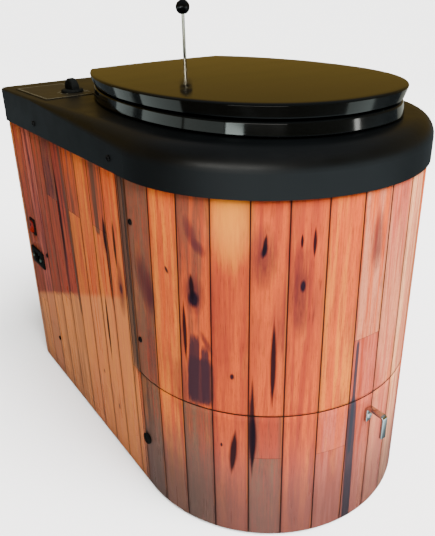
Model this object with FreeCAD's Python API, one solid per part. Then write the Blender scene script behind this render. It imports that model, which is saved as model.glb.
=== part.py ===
import FreeCAD, Part
import math
import os

from FreeCAD import Vector

# Incinerating toilet: a U-shaped casing with a round front, a moulded top cover with seat and lid,
# an ash drawer behind the lower front, and a burn unit inside that is worked by a pull lever.
# Millimetres. Z is up from the floor, the front looks along -Y, and the centre of the round front
# is on the Z axis. Left and right are as seen by someone who faces the front: +X is right.

# Casing
BODY_WIDTH = 400.0
FLANK_LENGTH = 437.0
BODY_HEIGHT = 466.0
PANEL_WALL = 3.0
PANEL_LIFT = 4.0
PANEL_HEADROOM = 2.0
DRAWER_SEAM_Z = 197.0
DRAWER_SEAM_GAP = 1.6
PANEL_SEAM_Y = 16.0
PANEL_SEAM_GAP = 1.5
REAR_RETURN = 20.0
REAR_CORNER = 12.0
SEATING_GAP = 0.3

# Top cover
SKIRT_HEIGHT = 52.0
SKIRT_WALL = 3.0
SKIRT_GAP = 0.4
DECK_WALL = 4.0
SHOULDER_FRONT = 25.0
SHOULDER_REAR = 3.0
SHOULDER_TAPER_FROM = 295.0
BOWL_CENTRE_Y = 25.0
BOWL_HALF_WIDTH = 112.0
BOWL_HALF_LENGTH = 137.0

# Base, posts and shelf
BASE_WALL = 3.0
BASE_UPSTAND = 25.0
BASE_FLANGE = 2.0
POST_WALL = 2.0
POST_DEPTH = 20.0
POST_BEFORE_SEAM = 24.0
POST_BEHIND_SEAM = 29.0
POST_EDGE = 14.0
SHELF_WALL = 2.0
SHELF_ABOVE_SEAM = 3.0
SHELF_FRONT_REACH = 155.0
BRACKET_REACH = 30.0
BRACKET_DROP = 28.0
BRACKET_WALL = 2.0

# Screws
SCREW_R = 2.0
SCREW_HEAD_R = 4.0
SCREW_HEAD_H = 2.2
SCREW_TIP_R = 2.6
SCREW_LENGTH = 9.0
SCREW_FIT = 0.1
FRONT_SCREW_Y = 1.0
FRONT_SCREW_ABOVE_SEAM = (55.0, 216.0)
SIDE_SCREW_FROM_REAR = 107.0
SIDE_SCREW_Z = (85.0, 250.0)
COVER_SCREW_BEHIND_SEAM = 21.0
COVER_SCREW_FROM_REAR = 149.0
COVER_SCREW_UP = 16.0
REAR_SCREW_Z = (40.0, 150.0, 260.0)

# Lid and seat
LID_HALF_WIDTH = 163.0
LID_WIDEST_Y = 60.0
LID_FRONT_REACH = 233.0
LID_FRONT_POWER = 2.3
LID_FRONT_STEPS = 16
LID_REAR_REACH = 285.0
LID_CORNER_Y = 265.0
LID_REAR_BULGE = 7.0
LID_THICK = 16.0
LID_UNDERCUT = 4.0
LID_ROUND = 2.5
SEAT_THICK = 15.5
SEAT_INSET = 3.0
SEAT_ROUND = 4.0
SEAT_HOLE_HALF_WIDTH = 105.0
SEAT_HOLE_HALF_LENGTH = 130.0
SEAT_BUMPER_H = 1.5
LID_BUMPER_H = 3.0
BUMPER_R = 7.0
BUMPER_FRONT_X = 70.0
BUMPER_FRONT_Y = -105.0
BUMPER_REAR_X = 118.0
BUMPER_REAR_Y = 150.0

# Seat hinge
HINGE_HALF_SPAN = 78.0
HINGE_BEHIND_LID = 14.0
HINGE_PIN_R = 4.0
HINGE_PIN_FIT = 0.05
HINGE_BARREL_R = 8.0
HINGE_POST_WIDTH = 16.0
HINGE_POST_DEPTH = 20.0
HINGE_SIDE_GAP = 1.0
HINGE_BARREL_LENGTH = 13.0
HINGE_LEAF_WALL = 2.5
HINGE_LEAF_LENGTH = 46.0
HINGE_BOLT_R = 4.0
HINGE_BOLT_LENGTH = 22.0
HINGE_NUT_R = 8.0
HINGE_NUT_H = 7.0

# Bowl
BOWL_WALL = 1.5
BOWL_FLANGE = 14.0
BOWL_GASKET_H = 1.5
BOWL_TUCK = 3.0
NECK_R = 60.0
NECK_LENGTH = 19.0
NECK_BELOW_PLATE = 5.0

# Burn chamber
LINER_R = 120.0
LINER_WALL = 2.0
INSULATION_WALL = 27.0
CASING_WALL = 2.0
CHAMBER_HEIGHT = 136.0
CHAMBER_PLATE = 3.0
NECK_HOLE_GAP = 0.5
HEATER_RING_R = 100.0
HEATER_TUBE_R = 4.0
HEATER_LIFT = 12.0
HEATER_LEAD_X = 20.0
HEATER_BEND_R = 14.0
HEATER_LEAD_Y = 205.0
PROBE_R = 3.0
PROBE_INSIDE = 10.0
PROBE_BOSS_R = 8.0
PROBE_BOSS_H = 12.0
PROBE_Z_DOWN = 38.0
WALL_HOLE_GAP = 0.3

# Trap flap and its shaft
TRAP_R = 66.0
TRAP_WALL = 2.5
TRAP_SEAL_GAP = 0.5
TRAP_OPEN_DEG = 62.0
SHAFT_R = 6.0
SHAFT_BESIDE_TRAP = 10.0
SHAFT_BELOW_NECK = 7.0
SHAFT_FIT = 0.05
TRAP_HUB_R = 10.0
TRAP_HUB_LENGTH = 14.0
TRAP_HUB_OFFSET = 40.0
TRAP_ARM_WALL = 4.0
HANGER_WIDTH = 24.0
HANGER_LENGTH = 10.0
HANGER_OFFSET = 74.0
HANGER_BELOW_SHAFT = 14.0
REAR_BEARING_LENGTH = 18.0
REAR_BEARING_SIZE = 32.0
CRANK_REACH = 68.0
CRANK_WALL = 5.0
CRANK_WIDTH = 16.0
CRANK_HUB_R = 12.0
CRANK_PIN_R = 4.0
WEIGHT_Y = 228.0
WEIGHT_REACH = 60.0
WEIGHT_SIZE = 40.0

# Pull lever
ROD_R = 3.0
ROD_FROM_REAR = 35.0
ROD_FIT = 0.05
BALL_R = 13.0
BALL_CENTRE_ABOVE_DECK = 109.0
BALL_FLAT = 1.2
BALL_NUB_R = 2.5
BALL_NUB_H = 2.5
YOKE_WALL = 6.0
YOKE_WIDTH = 36.0
YOKE_HEIGHT = 26.0
YOKE_SIDE_GAP = 1.0
YOKE_SLOT_PLAY = 1.2
BUSH_COLLAR_R = 10.0
BUSH_COLLAR_H = 5.0
BUSH_R = 6.5
BUSH_NUT_H = 6.0

# Exhaust
EXHAUST_X = -60.0
EXHAUST_BELOW_CHAMBER_TOP = 48.0
DUCT_R = 35.0
DUCT_WALL = 1.5
BLOWER_Y = 235.0
BLOWER_R = 78.0
BLOWER_LENGTH = 65.0
BLOWER_WALL = 1.5
BLOWER_OUTLET_WIDTH = 50.0
BLOWER_OUTLET_RISE = 150.0
IMPELLER_R = 60.0
IMPELLER_LENGTH = 44.0
IMPELLER_BLADES = 12
IMPELLER_BLADE_WALL = 2.0
IMPELLER_BLADE_DEPTH = 20.0
IMPELLER_HUB_R = 9.0
IMPELLER_FIT = 0.05
MOTOR_R = 36.0
MOTOR_LENGTH = 62.0
MOTOR_SHAFT_R = 4.0
STAND_WALL = 2.0
STAND_WIDTH = 140.0
STAND_HEAD = 40.0
STAND_FOOT = 28.0
FLUE_R = 38.0
FLUE_WALL = 1.5
FLUE_BELOW_OUTLET_TOP = 42.0
FLUE_PROUD = 50.0
FLUE_FLANGE_R = 52.0
FLUE_FLANGE_WALL = 2.0

# Ash drawer
DRAWER_RUB_GAP = 0.3
RUNNER_HEIGHT = 15.0
RUNNER_WIDTH = 12.0
RUNNER_INSET = 22.0
TRAY_SIDE_GAP = 26.7
TRAY_FRONT_GAP = 82.0
TRAY_BEHIND_BOWL = 160.0
TRAY_WALL = 1.5
TRAY_HEADROOM = 8.0
TRAY_NOSE_BEHIND = 6.0
TRAY_WEB_X = 60.0
TRAY_WEB_HEIGHT = 120.0
PAN_WALL = 1.5
PAN_GAP = 5.0
PAN_HEIGHT = 130.0
PULL_X = 4.0
PULL_WIDTH = 8.0
PULL_WALL = 4.0
PULL_REACH = 28.5
PULL_DROP = 33.0
PULL_TAB = 22.0
PULL_BELOW_SEAM = 17.0
THUMB_Y = 2.5
THUMB_Z = 90.0
THUMB_HEAD_R = 8.0
THUMB_HEAD_H = 4.5
THUMB_STUD_R = 3.0
THUMB_STUD_LENGTH = 12.0
THUMB_FIT = 0.05
THUMB_SLOT_GAP = 0.5

# Controls
PLATE_FROM_FLANK = 10.0
PLATE_WIDTH = 80.0
PLATE_FROM_REAR = 42.0
PLATE_LENGTH = 136.0
PLATE_WALL = 1.0
KNOB_FROM_FLANK = 68.0
KNOB_FROM_REAR = 137.0
KNOB_SKIRT_R = 17.0
KNOB_SKIRT_H = 4.0
KNOB_HEIGHT = 20.0
KNOB_BAR_WIDTH = 13.0
KNOB_BAR_LENGTH = 30.0
KNOB_ARCH_R = 16.0
KNOB_ROUND = 3.0
SPINDLE_R = 3.0
SPINDLE_FIT = 0.05
SPINDLE_IN_KNOB = 14.0
SPINDLE_IN_TIMER = 12.0
SPINDLE_HOLE_GAP = 2.0
TIMER_SIZE = 40.0
TIMER_HEIGHT = 35.0
SWITCH_FROM_REAR = 53.0
SWITCH_Z = 287.0
SWITCH_BEZEL_LENGTH = 23.0
SWITCH_BEZEL_HEIGHT = 29.0
SWITCH_BEZEL_PROUD = 2.5
SWITCH_DEPTH = 26.0
SWITCH_RIM = 2.2
ROCKER_LENGTH = 14.0
ROCKER_HEIGHT = 18.5
ROCKER_PROUD = 5.5
ROCKER_DISH = 3.0
ROCKER_ROOT = 6.0
ROCKER_GAP = 0.3
ROCKER_PIN_R = 1.5
ROCKER_PIN_FIT = 0.05
ROCKER_PIN_LENGTH = 1.5
ROCKER_TILT_DEG = 10.0
INLET_FROM_REAR = 57.0
INLET_Z = 229.0
INLET_BEZEL_LENGTH = 58.0
INLET_BEZEL_HEIGHT = 30.0
INLET_BEZEL_PROUD = 3.0
INLET_BODY_LENGTH = 48.0
INLET_BODY_HEIGHT = 25.0
INLET_DEPTH = 28.0
INLET_RECESS_LENGTH = 25.0
INLET_RECESS_HEIGHT = 17.0
INLET_RECESS_DEPTH = 18.0
INLET_PIN_LENGTH = 14.0
INLET_PIN_WIDTH = 2.0
INLET_PIN_HEIGHT = 4.0
INLET_PIN_SPACING = 7.0
INLET_EARTH_DROP = 4.0
INLET_LIVE_RISE = 1.5
CUTOUT_GAP = 0.3
CONTROL_BOX_FROM_FLANK = 30.0
CONTROL_BOX_WIDTH = 78.0
CONTROL_BOX_BEHIND_STAND = 14.0
CONTROL_BOX_REAR_GAP = 11.0
CONTROL_BOX_HEIGHT = 130.0
CONTROL_BOX_ROUND = 4.0

# Rear vents
VENT_COUNT = 9
VENT_PITCH = 14.0
VENT_WIDTH = 5.0
VENT_HEIGHT = 60.0
VENT_X = 90.0
VENT_Z = 60.0

# Heights and radii that follow from the sizes above
BODY_R = BODY_WIDTH / 2
PANEL_INNER = BODY_R - PANEL_WALL
DECK_Z = BODY_HEIGHT + SKIRT_HEIGHT
DECK_UNDER = DECK_Z - DECK_WALL
PANEL_TOP = DECK_Z - SHOULDER_FRONT - PANEL_HEADROOM
COVER_R = BODY_R + SKIRT_GAP + SKIRT_WALL
COVER_REAR = FLANK_LENGTH + SKIRT_GAP + SKIRT_WALL
COVER_CORNER = REAR_CORNER + SKIRT_GAP + SKIRT_WALL
REAR_OUTER = FLANK_LENGTH - PANEL_WALL
REAR_INNER = REAR_OUTER - PANEL_WALL
RETURN_X = BODY_R - REAR_CORNER
POST_OUTER = PANEL_INNER - SEATING_GAP
POST_INNER = POST_OUTER - POST_DEPTH
SHELF_Z = DRAWER_SEAM_Z + SHELF_ABOVE_SEAM
CHAMBER_Z = SHELF_Z + SHELF_WALL
CHAMBER_TOP = CHAMBER_Z + CHAMBER_HEIGHT
NECK_LOW = CHAMBER_TOP - NECK_BELOW_PLATE
TRAP_TOP = NECK_LOW - TRAP_SEAL_GAP
SHAFT_X = TRAP_R + SHAFT_BESIDE_TRAP
SHAFT_Z = NECK_LOW - SHAFT_BELOW_NECK
HALF_SWING = math.radians(TRAP_OPEN_DEG / 2)
ROD_X = SHAFT_X + CRANK_REACH * (1 + math.cos(HALF_SWING)) / 2
EXHAUST_Z = CHAMBER_TOP - EXHAUST_BELOW_CHAMBER_TOP
SEAT_Z = DECK_Z + SEAT_BUMPER_H
LID_Z = SEAT_Z + SEAT_THICK + LID_BUMPER_H
HINGE_Y = LID_CORNER_Y + LID_REAR_BULGE + HINGE_BEHIND_LID
HINGE_Z = SEAT_Z + SEAT_THICK + LID_BUMPER_H / 2
TRAY_Z = BASE_WALL + RUNNER_HEIGHT + SEATING_GAP
TRAY_TOP = DRAWER_SEAM_Z - TRAY_HEADROOM
PULL_TOP = DRAWER_SEAM_Z - PULL_BELOW_SEAM
COVER_SCREW_Z = BODY_HEIGHT + COVER_SCREW_UP
COVER_SCREW_LENGTH = SCREW_LENGTH + SKIRT_GAP + SKIRT_WALL
BALL_Z = DECK_Z + BALL_CENTRE_ABOVE_DECK
SIDE_SCREW_Y = FLANK_LENGTH - SIDE_SCREW_FROM_REAR
COVER_SCREW_Y = (PANEL_SEAM_Y + COVER_SCREW_BEHIND_SEAM, FLANK_LENGTH - COVER_SCREW_FROM_REAR)
ROD_Y = FLANK_LENGTH - ROD_FROM_REAR
TRAY_HALF_WIDTH = POST_INNER - TRAY_SIDE_GAP
TRAY_FRONT_Y = -BODY_R + TRAY_FRONT_GAP
TRAY_REAR_Y = BOWL_CENTRE_Y + TRAY_BEHIND_BOWL
RUNNER_X = TRAY_HALF_WIDTH - RUNNER_INSET
PLATE_X = (-BODY_R + PLATE_FROM_FLANK, -BODY_R + PLATE_FROM_FLANK + PLATE_WIDTH)
PLATE_REAR = FLANK_LENGTH - PLATE_FROM_REAR
PLATE_Y = (PLATE_REAR - PLATE_LENGTH, PLATE_REAR)
KNOB_X = -BODY_R + KNOB_FROM_FLANK
KNOB_Y = FLANK_LENGTH - KNOB_FROM_REAR
SWITCH_Y = FLANK_LENGTH - SWITCH_FROM_REAR
INLET_Y = FLANK_LENGTH - INLET_FROM_REAR
OVERCUT = 1.0

UP = Vector(0, 0, 1)
BACK = Vector(0, 1, 0)
RIGHT = Vector(1, 0, 0)


def block(x, y, z):
    """Box between the given low and high value on each axis."""
    size = (x[1] - x[0], y[1] - y[0], z[1] - z[0])
    return Part.makeBox(*size, Vector(x[0], y[0], z[0]))


def about(centre, size):
    """Low and high value of a span of the given size about a centre."""
    return (centre - size / 2, centre + size / 2)


def bar(radius, start, along, length):
    """Round bar from a point, in a direction."""
    return Part.makeCylinder(radius, length, start, along)


def ring(outer, inner, start, along, length):
    """Round tube from a point, in a direction."""
    hole_start = start - along * OVERCUT
    return bar(outer, start, along, length).cut(bar(inner, hole_start, along, length + 2 * OVERCUT))


def mirrored(shape):
    """The same piece on the other side of the middle plane."""
    return shape.mirror(Vector(0, 0, 0), RIGHT)


def pair(shape):
    """A right-hand piece and its left-hand copy."""
    return Part.makeCompound([shape, mirrored(shape)])


def joined(first, *others):
    """One solid out of pieces that meet."""
    return first.multiFuse(list(others)).removeSplitter()


def u_block(radius, rear, z, corner=0.0):
    """Upright block with the casing's plan: a half round front, straight flanks and a flat back."""
    side = rear - corner
    right_rear = Vector(radius, side, z[0])
    left_rear = Vector(-radius, side, z[0])
    front_right = Vector(radius, 0, z[0])
    front_left = Vector(-radius, 0, z[0])
    edges = [
        Part.LineSegment(right_rear, front_right).toShape(),
        Part.Arc(front_right, Vector(0, -radius, z[0]), front_left).toShape(),
        Part.LineSegment(front_left, left_rear).toShape(),
    ]
    if corner > 0:
        turn = corner * math.sqrt(0.5)
        back_left = Vector(-radius + corner, rear, z[0])
        back_right = Vector(radius - corner, rear, z[0])
        middle_left = Vector(-radius + corner - turn, side + turn, z[0])
        middle_right = Vector(radius - corner + turn, side + turn, z[0])
        edges.append(Part.Arc(left_rear, middle_left, back_left).toShape())
        edges.append(Part.LineSegment(back_left, back_right).toShape())
        edges.append(Part.Arc(back_right, middle_right, right_rear).toShape())
    else:
        edges.append(Part.LineSegment(left_rear, right_rear).toShape())
    return Part.Face(Part.Wire(edges)).extrude(Vector(0, 0, z[1] - z[0]))


def shoulder_waste(wall, top, radius, y):
    """Closed outline, square to Y, of what rounding a shoulder takes off the edge at x = wall, z = top."""
    low = top - radius
    turn = radius * math.sqrt(0.5)
    middle = Vector(wall - radius + turn, y, low + turn)
    arc_end = Vector(wall - radius, y, top)
    arc_start = Vector(wall, y, low)
    corners = [
        arc_end,
        Vector(wall - radius, y, top + OVERCUT),
        Vector(wall + OVERCUT, y, top + OVERCUT),
        Vector(wall + OVERCUT, y, low),
        arc_start,
    ]
    edges = [Part.LineSegment(a, b).toShape() for a, b in zip(corners, corners[1:])]
    edges.append(Part.Arc(arc_start, middle, arc_end).toShape())
    return Part.Wire(edges)


def shouldered_block(radius, rear, z, front_shoulder, rear_shoulder, corner):
    """U block whose top edge is rounded: widely at the front, tapering along the flanks to a small edge."""
    body = u_block(radius, rear, z, corner)
    nose = Part.Face(shoulder_waste(radius, z[1], front_shoulder, 0)).revolve(Vector(0, 0, 0), UP, -180)
    wide = shoulder_waste(radius, z[1], front_shoulder, 0)
    narrow = shoulder_waste(radius, z[1], rear_shoulder, SHOULDER_TAPER_FROM)
    flank = Part.makeLoft([wide, narrow], True, True)
    straight_length = rear - corner - SHOULDER_TAPER_FROM
    straight = Part.Face(narrow).extrude(BACK * straight_length)
    turn_outline = shoulder_waste(radius, z[1], rear_shoulder, rear - corner)
    turn_axis = Vector(radius - corner, rear - corner, 0)
    turn = Part.Face(turn_outline).revolve(turn_axis, UP, 90)
    quarter = Part.Face(turn_outline)
    quarter.rotate(turn_axis, UP, 90)
    back = quarter.extrude(Vector(-2 * (radius - corner), 0, 0))
    wastes = [nose, flank, mirrored(flank), straight, mirrored(straight), turn, mirrored(turn), back]
    for waste in wastes:
        body = body.cut(waste)
    return body


def oval(half_width, half_length, centre_y, z):
    """Closed oval outline in plan, longer from front to back than from side to side."""
    centre = Vector(0, centre_y, z)
    ellipse = Part.Ellipse(Vector(0, centre_y + half_length, z), Vector(-half_width, centre_y, z), centre)
    return Part.Wire([ellipse.toShape()])


def oval_block(half_width, half_length, centre_y, z):
    """Upright block with an oval plan."""
    return Part.Face(oval(half_width, half_length, centre_y, z[0])).extrude(Vector(0, 0, z[1] - z[0]))


def lid_outline(inset, z):
    """Closed outline of the lid in plan, drawn in by an inset: full front, half oval rear, bowed back edge."""
    half_width = LID_HALF_WIDTH - inset
    front_reach = LID_FRONT_REACH - inset
    rear_reach = LID_REAR_REACH - inset
    corner_y = LID_CORNER_Y - inset
    centre = Vector(0, LID_WIDEST_Y, z)
    front_points = []
    for step in range(LID_FRONT_STEPS + 1):
        angle = math.pi * step / LID_FRONT_STEPS
        across = abs(math.cos(angle)) ** (2 / LID_FRONT_POWER)
        forward = abs(math.sin(angle)) ** (2 / LID_FRONT_POWER)
        x = math.copysign(half_width * across, math.cos(angle))
        front_points.append(Vector(x, LID_WIDEST_Y - front_reach * forward, z))
    front_points[0].y = LID_WIDEST_Y
    front_points[-1].y = LID_WIDEST_Y
    front_curve = Part.BSplineCurve()
    front_curve.interpolate(Points=front_points, InitialTangent=-BACK, FinalTangent=BACK)
    rear_tip = Vector(0, LID_WIDEST_Y + rear_reach, z)
    rear_oval = Part.Ellipse(rear_tip, Vector(-half_width, LID_WIDEST_Y, z), centre)
    cut_angle = math.acos((corner_y - LID_WIDEST_Y) / rear_reach)
    corner_x = half_width * math.sin(cut_angle)
    quarter = math.pi / 2
    back_edge = Part.Arc(
        Vector(corner_x, corner_y, z),
        Vector(0, corner_y + LID_REAR_BULGE, z),
        Vector(-corner_x, corner_y, z),
    )
    edges = [
        front_curve.toShape(),
        Part.ArcOfEllipse(rear_oval, -quarter, -cut_angle).toShape(),
        back_edge.toShape(),
        Part.ArcOfEllipse(rear_oval, cut_angle, quarter).toShape(),
    ]
    return Part.Wire(Part.__sortEdges__(edges))


def screw(head_seat, outward, length=SCREW_LENGTH):
    """Domed screw whose head stands on a surface point and whose shank goes in."""
    head = Part.makeCone(SCREW_HEAD_R, SCREW_TIP_R, SCREW_HEAD_H, head_seat, outward)
    shank = bar(SCREW_R, head_seat, -outward, length)
    return joined(head, shank)


def screw_hole(head_seat, outward, length=SCREW_LENGTH):
    """Clearance hole for such a screw, open past its tip."""
    start = head_seat + outward * OVERCUT
    return bar(SCREW_R + SCREW_FIT, start, -outward, length + 2 * OVERCUT)


def front_screw_seats():
    """Right-hand seats of the screws that hold the upper front panel."""
    heights = [DRAWER_SEAM_Z + up for up in FRONT_SCREW_ABOVE_SEAM]
    return [Vector(BODY_R, FRONT_SCREW_Y, z) for z in heights]


def side_screw_seats():
    """Right-hand seats of the screws that hold a side panel."""
    return [Vector(BODY_R, SIDE_SCREW_Y, z) for z in SIDE_SCREW_Z]


def cover_screw_seats():
    """Right-hand seats of the screws in the top cover's skirt."""
    return [Vector(COVER_R, y, COVER_SCREW_Z) for y in COVER_SCREW_Y]


def rear_screw_seats():
    """Right-hand seats of the screws that hold the rear panel to the side panels' returns."""
    x = RETURN_X - REAR_RETURN / 2
    return [Vector(x, FLANK_LENGTH, z) for z in REAR_SCREW_Z]


def cut_screws(shape, seats, outward, length=SCREW_LENGTH):
    """Right-hand piece with a clearance hole for each screw."""
    for seat in seats:
        shape = shape.cut(screw_hole(seat, outward, length))
    return shape


def switch_cutout():
    """Hole in the left panel for the switch body."""
    length = ROCKER_LENGTH + 2 * (ROCKER_GAP + SWITCH_RIM + CUTOUT_GAP)
    height = SWITCH_BEZEL_HEIGHT - 2 * SWITCH_RIM + 2 * CUTOUT_GAP
    x = (-BODY_R - OVERCUT, -PANEL_INNER + OVERCUT)
    return block(x, about(SWITCH_Y, length), about(SWITCH_Z, height))


def inlet_cutout():
    """Hole in the left panel for the mains inlet's body."""
    x = (-BODY_R - OVERCUT, -PANEL_INNER + OVERCUT)
    length = INLET_BODY_LENGTH + 2 * CUTOUT_GAP
    height = INLET_BODY_HEIGHT + 2 * CUTOUT_GAP
    return block(x, about(INLET_Y, length), about(INLET_Z, height))


def casing():
    """Side, front and rear panels."""
    height = (PANEL_LIFT, PANEL_TOP)
    side_front = PANEL_SEAM_Y + PANEL_SEAM_GAP
    shell = u_block(BODY_R, FLANK_LENGTH, height, REAR_CORNER)
    shell = shell.cut(u_block(PANEL_INNER, REAR_OUTER, height, REAR_CORNER - PANEL_WALL))
    side = shell.common(block((RETURN_X - REAR_RETURN, BODY_R), (side_front, FLANK_LENGTH), height))
    side = cut_screws(side, side_screw_seats(), RIGHT)
    side = cut_screws(side, cover_screw_seats(), RIGHT, COVER_SCREW_LENGTH)
    side = cut_screws(side, rear_screw_seats(), BACK)
    left = mirrored(side).cut(switch_cutout()).cut(inlet_cutout())

    front_z = (DRAWER_SEAM_Z, PANEL_TOP)
    front = u_block(BODY_R, PANEL_SEAM_Y, front_z)
    front = front.cut(u_block(PANEL_INNER, PANEL_SEAM_Y + OVERCUT, front_z))
    for seat in front_screw_seats():
        hole = screw_hole(seat, RIGHT)
        front = front.cut(hole).cut(mirrored(hole))

    half_width = RETURN_X - SEATING_GAP
    rear = block((-half_width, half_width), (REAR_INNER, REAR_OUTER), height)
    for seat in rear_screw_seats():
        hole = screw_hole(seat, BACK)
        rear = rear.cut(hole).cut(mirrored(hole))
    flue_hole_start = Vector(flue_x(), REAR_INNER - OVERCUT, flue_z())
    rear = rear.cut(bar(FLUE_R + SEATING_GAP, flue_hole_start, BACK, PANEL_WALL + 2 * OVERCUT))
    vent_y = (REAR_INNER - OVERCUT, REAR_OUTER + OVERCUT)
    vent_z = (VENT_Z, VENT_Z + VENT_HEIGHT)
    first = VENT_X - VENT_PITCH * (VENT_COUNT - 1) / 2
    for i in range(VENT_COUNT):
        rear = rear.cut(block(about(first + i * VENT_PITCH, VENT_WIDTH), vent_y, vent_z))
    return {"right_panel": side, "left_panel": left, "front_panel": front, "rear_panel": rear}


def casing_screws():
    """All screws of the casing and the top cover."""
    right = [screw(seat, RIGHT) for seat in front_screw_seats() + side_screw_seats()]
    right += [screw(seat, RIGHT, COVER_SCREW_LENGTH) for seat in cover_screw_seats()]
    right += [screw(seat, BACK) for seat in rear_screw_seats()]
    return {"casing_screws": Part.makeCompound(right + [mirrored(s) for s in right])}


def frame():
    """Base pan, posts, chamber shelf and its brackets."""
    base_r = POST_OUTER
    base_rear = REAR_INNER - SEATING_GAP
    plate = u_block(base_r, base_rear, (0, BASE_WALL), REAR_CORNER - PANEL_WALL)
    flange_z = (BASE_WALL, BASE_WALL + BASE_UPSTAND)
    post_rear = PANEL_SEAM_Y + POST_BEHIND_SEAM
    rear_post_y = (COVER_SCREW_Y[1] - POST_EDGE, SIDE_SCREW_Y + POST_EDGE)
    flank_y = (post_rear + SEATING_GAP, rear_post_y[0] - SEATING_GAP)
    flank_flange = block((base_r - BASE_FLANGE, base_r), flank_y, flange_z)
    back_half = RETURN_X - SEATING_GAP
    back_flange = block((-back_half, back_half), (base_rear - BASE_FLANGE, base_rear), flange_z)
    base = joined(plate, flank_flange, mirrored(flank_flange), back_flange)

    post_z = (BASE_WALL, DECK_UNDER)
    post_front = PANEL_SEAM_Y - POST_BEFORE_SEAM
    front_post_z = (BASE_WALL, PANEL_TOP)
    web = block((POST_OUTER - POST_WALL, POST_OUTER), (post_front, post_rear), front_post_z)
    leg = block((POST_INNER, POST_OUTER), (post_rear - POST_WALL, post_rear), front_post_z)
    front_post = joined(web, leg)
    slot_half = THUMB_STUD_R + THUMB_SLOT_GAP
    slot_y = (post_front - OVERCUT, THUMB_Y + slot_half)
    slot_x = (POST_OUTER - POST_WALL - OVERCUT, POST_OUTER + OVERCUT)
    front_post = front_post.cut(block(slot_x, slot_y, about(THUMB_Z, 2 * slot_half)))
    front_post = cut_screws(front_post, front_screw_seats(), RIGHT)
    front_post = cut_screws(front_post, cover_screw_seats(), RIGHT, COVER_SCREW_LENGTH)

    rear_web = block((POST_OUTER - POST_WALL, POST_OUTER), rear_post_y, post_z)
    front_leg = block((POST_INNER, POST_OUTER), (rear_post_y[0], rear_post_y[0] + POST_WALL), post_z)
    back_leg = block((POST_INNER, POST_OUTER), (rear_post_y[1] - POST_WALL, rear_post_y[1]), post_z)
    rear_post = joined(rear_web, front_leg, back_leg)
    rear_post = cut_screws(rear_post, side_screw_seats(), RIGHT)
    rear_post = cut_screws(rear_post, cover_screw_seats(), RIGHT, COVER_SCREW_LENGTH)

    shelf_half = POST_INNER - SEATING_GAP
    shelf_z = (SHELF_Z, SHELF_Z + SHELF_WALL)
    shelf_y = (BOWL_CENTRE_Y - SHELF_FRONT_REACH, rear_post_y[0] - SEATING_GAP)
    shelf = block((-shelf_half, shelf_half), shelf_y, shelf_z)
    room = u_block(PANEL_INNER - PANEL_WALL, FLANK_LENGTH, shelf_z)
    shelf = shelf.common(room)
    mouth = Vector(0, BOWL_CENTRE_Y, SHELF_Z - OVERCUT)
    shelf = shelf.cut(bar(LINER_R, mouth, UP, SHELF_WALL + 2 * OVERCUT))

    brackets = []
    for leg_face in (post_rear - POST_WALL, rear_post_y[0]):
        foot_y = (leg_face - BRACKET_REACH, leg_face)
        reach_x = (POST_INNER - BRACKET_REACH, POST_OUTER - 2 * POST_WALL)
        foot = block(reach_x, foot_y, (SHELF_Z - BRACKET_WALL, SHELF_Z))
        side_x = (POST_INNER, POST_OUTER - 2 * POST_WALL)
        upright = block(side_x, (leg_face - BRACKET_WALL, leg_face), (SHELF_Z - BRACKET_DROP, SHELF_Z))
        brackets.append(joined(foot, upright))
    right_brackets = Part.makeCompound(brackets)
    return {
        "base_pan": base,
        "front_posts": pair(front_post),
        "rear_posts": pair(rear_post),
        "chamber_shelf": shelf,
        "shelf_brackets": pair(right_brackets),
    }


def top_cover():
    """Moulded top: skirt, rounded shoulder and deck with its holes."""
    outer_z = (BODY_HEIGHT, DECK_Z)
    outer = shouldered_block(COVER_R, COVER_REAR, outer_z, SHOULDER_FRONT, SHOULDER_REAR, COVER_CORNER)
    inner_front = SHOULDER_FRONT - DECK_WALL
    inner_rear = min(SHOULDER_REAR, SKIRT_WALL) / 2
    inner_z = (BODY_HEIGHT - OVERCUT, DECK_UNDER)
    inner_corner = COVER_CORNER - SKIRT_WALL
    inner_r = COVER_R - SKIRT_WALL
    inner_back = COVER_REAR - SKIRT_WALL
    inner = shouldered_block(inner_r, inner_back, inner_z, inner_front, inner_rear, inner_corner)
    cover = outer.cut(inner)
    through = (DECK_UNDER - OVERCUT, DECK_Z + OVERCUT)
    depth = through[1] - through[0]
    cover = cover.cut(oval_block(BOWL_HALF_WIDTH, BOWL_HALF_LENGTH, BOWL_CENTRE_Y, through))
    holes = [
        bar(BUSH_R + SEATING_GAP, Vector(ROD_X, ROD_Y, through[0]), UP, depth),
        bar(SPINDLE_R + SPINDLE_HOLE_GAP, Vector(KNOB_X, KNOB_Y, through[0]), UP, depth),
    ]
    bolt = bar(HINGE_BOLT_R + SCREW_FIT, Vector(HINGE_HALF_SPAN, HINGE_Y, through[0]), UP, depth)
    holes += [bolt, mirrored(bolt)]
    for seat in cover_screw_seats():
        hole = screw_hole(seat, RIGHT, COVER_SCREW_LENGTH)
        holes += [hole, mirrored(hole)]
    for hole in holes:
        cover = cover.cut(hole)
    return {"top_cover": cover}


def bumpers(z, height):
    """Four round rubber pads, two at the front and two at the rear."""
    places = [(BUMPER_FRONT_X, BUMPER_FRONT_Y), (BUMPER_REAR_X, BUMPER_REAR_Y)]
    pads = [bar(BUMPER_R, Vector(x, y, z), UP, height) for x, y in places]
    return Part.makeCompound(pads + [mirrored(pad) for pad in pads])


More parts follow.
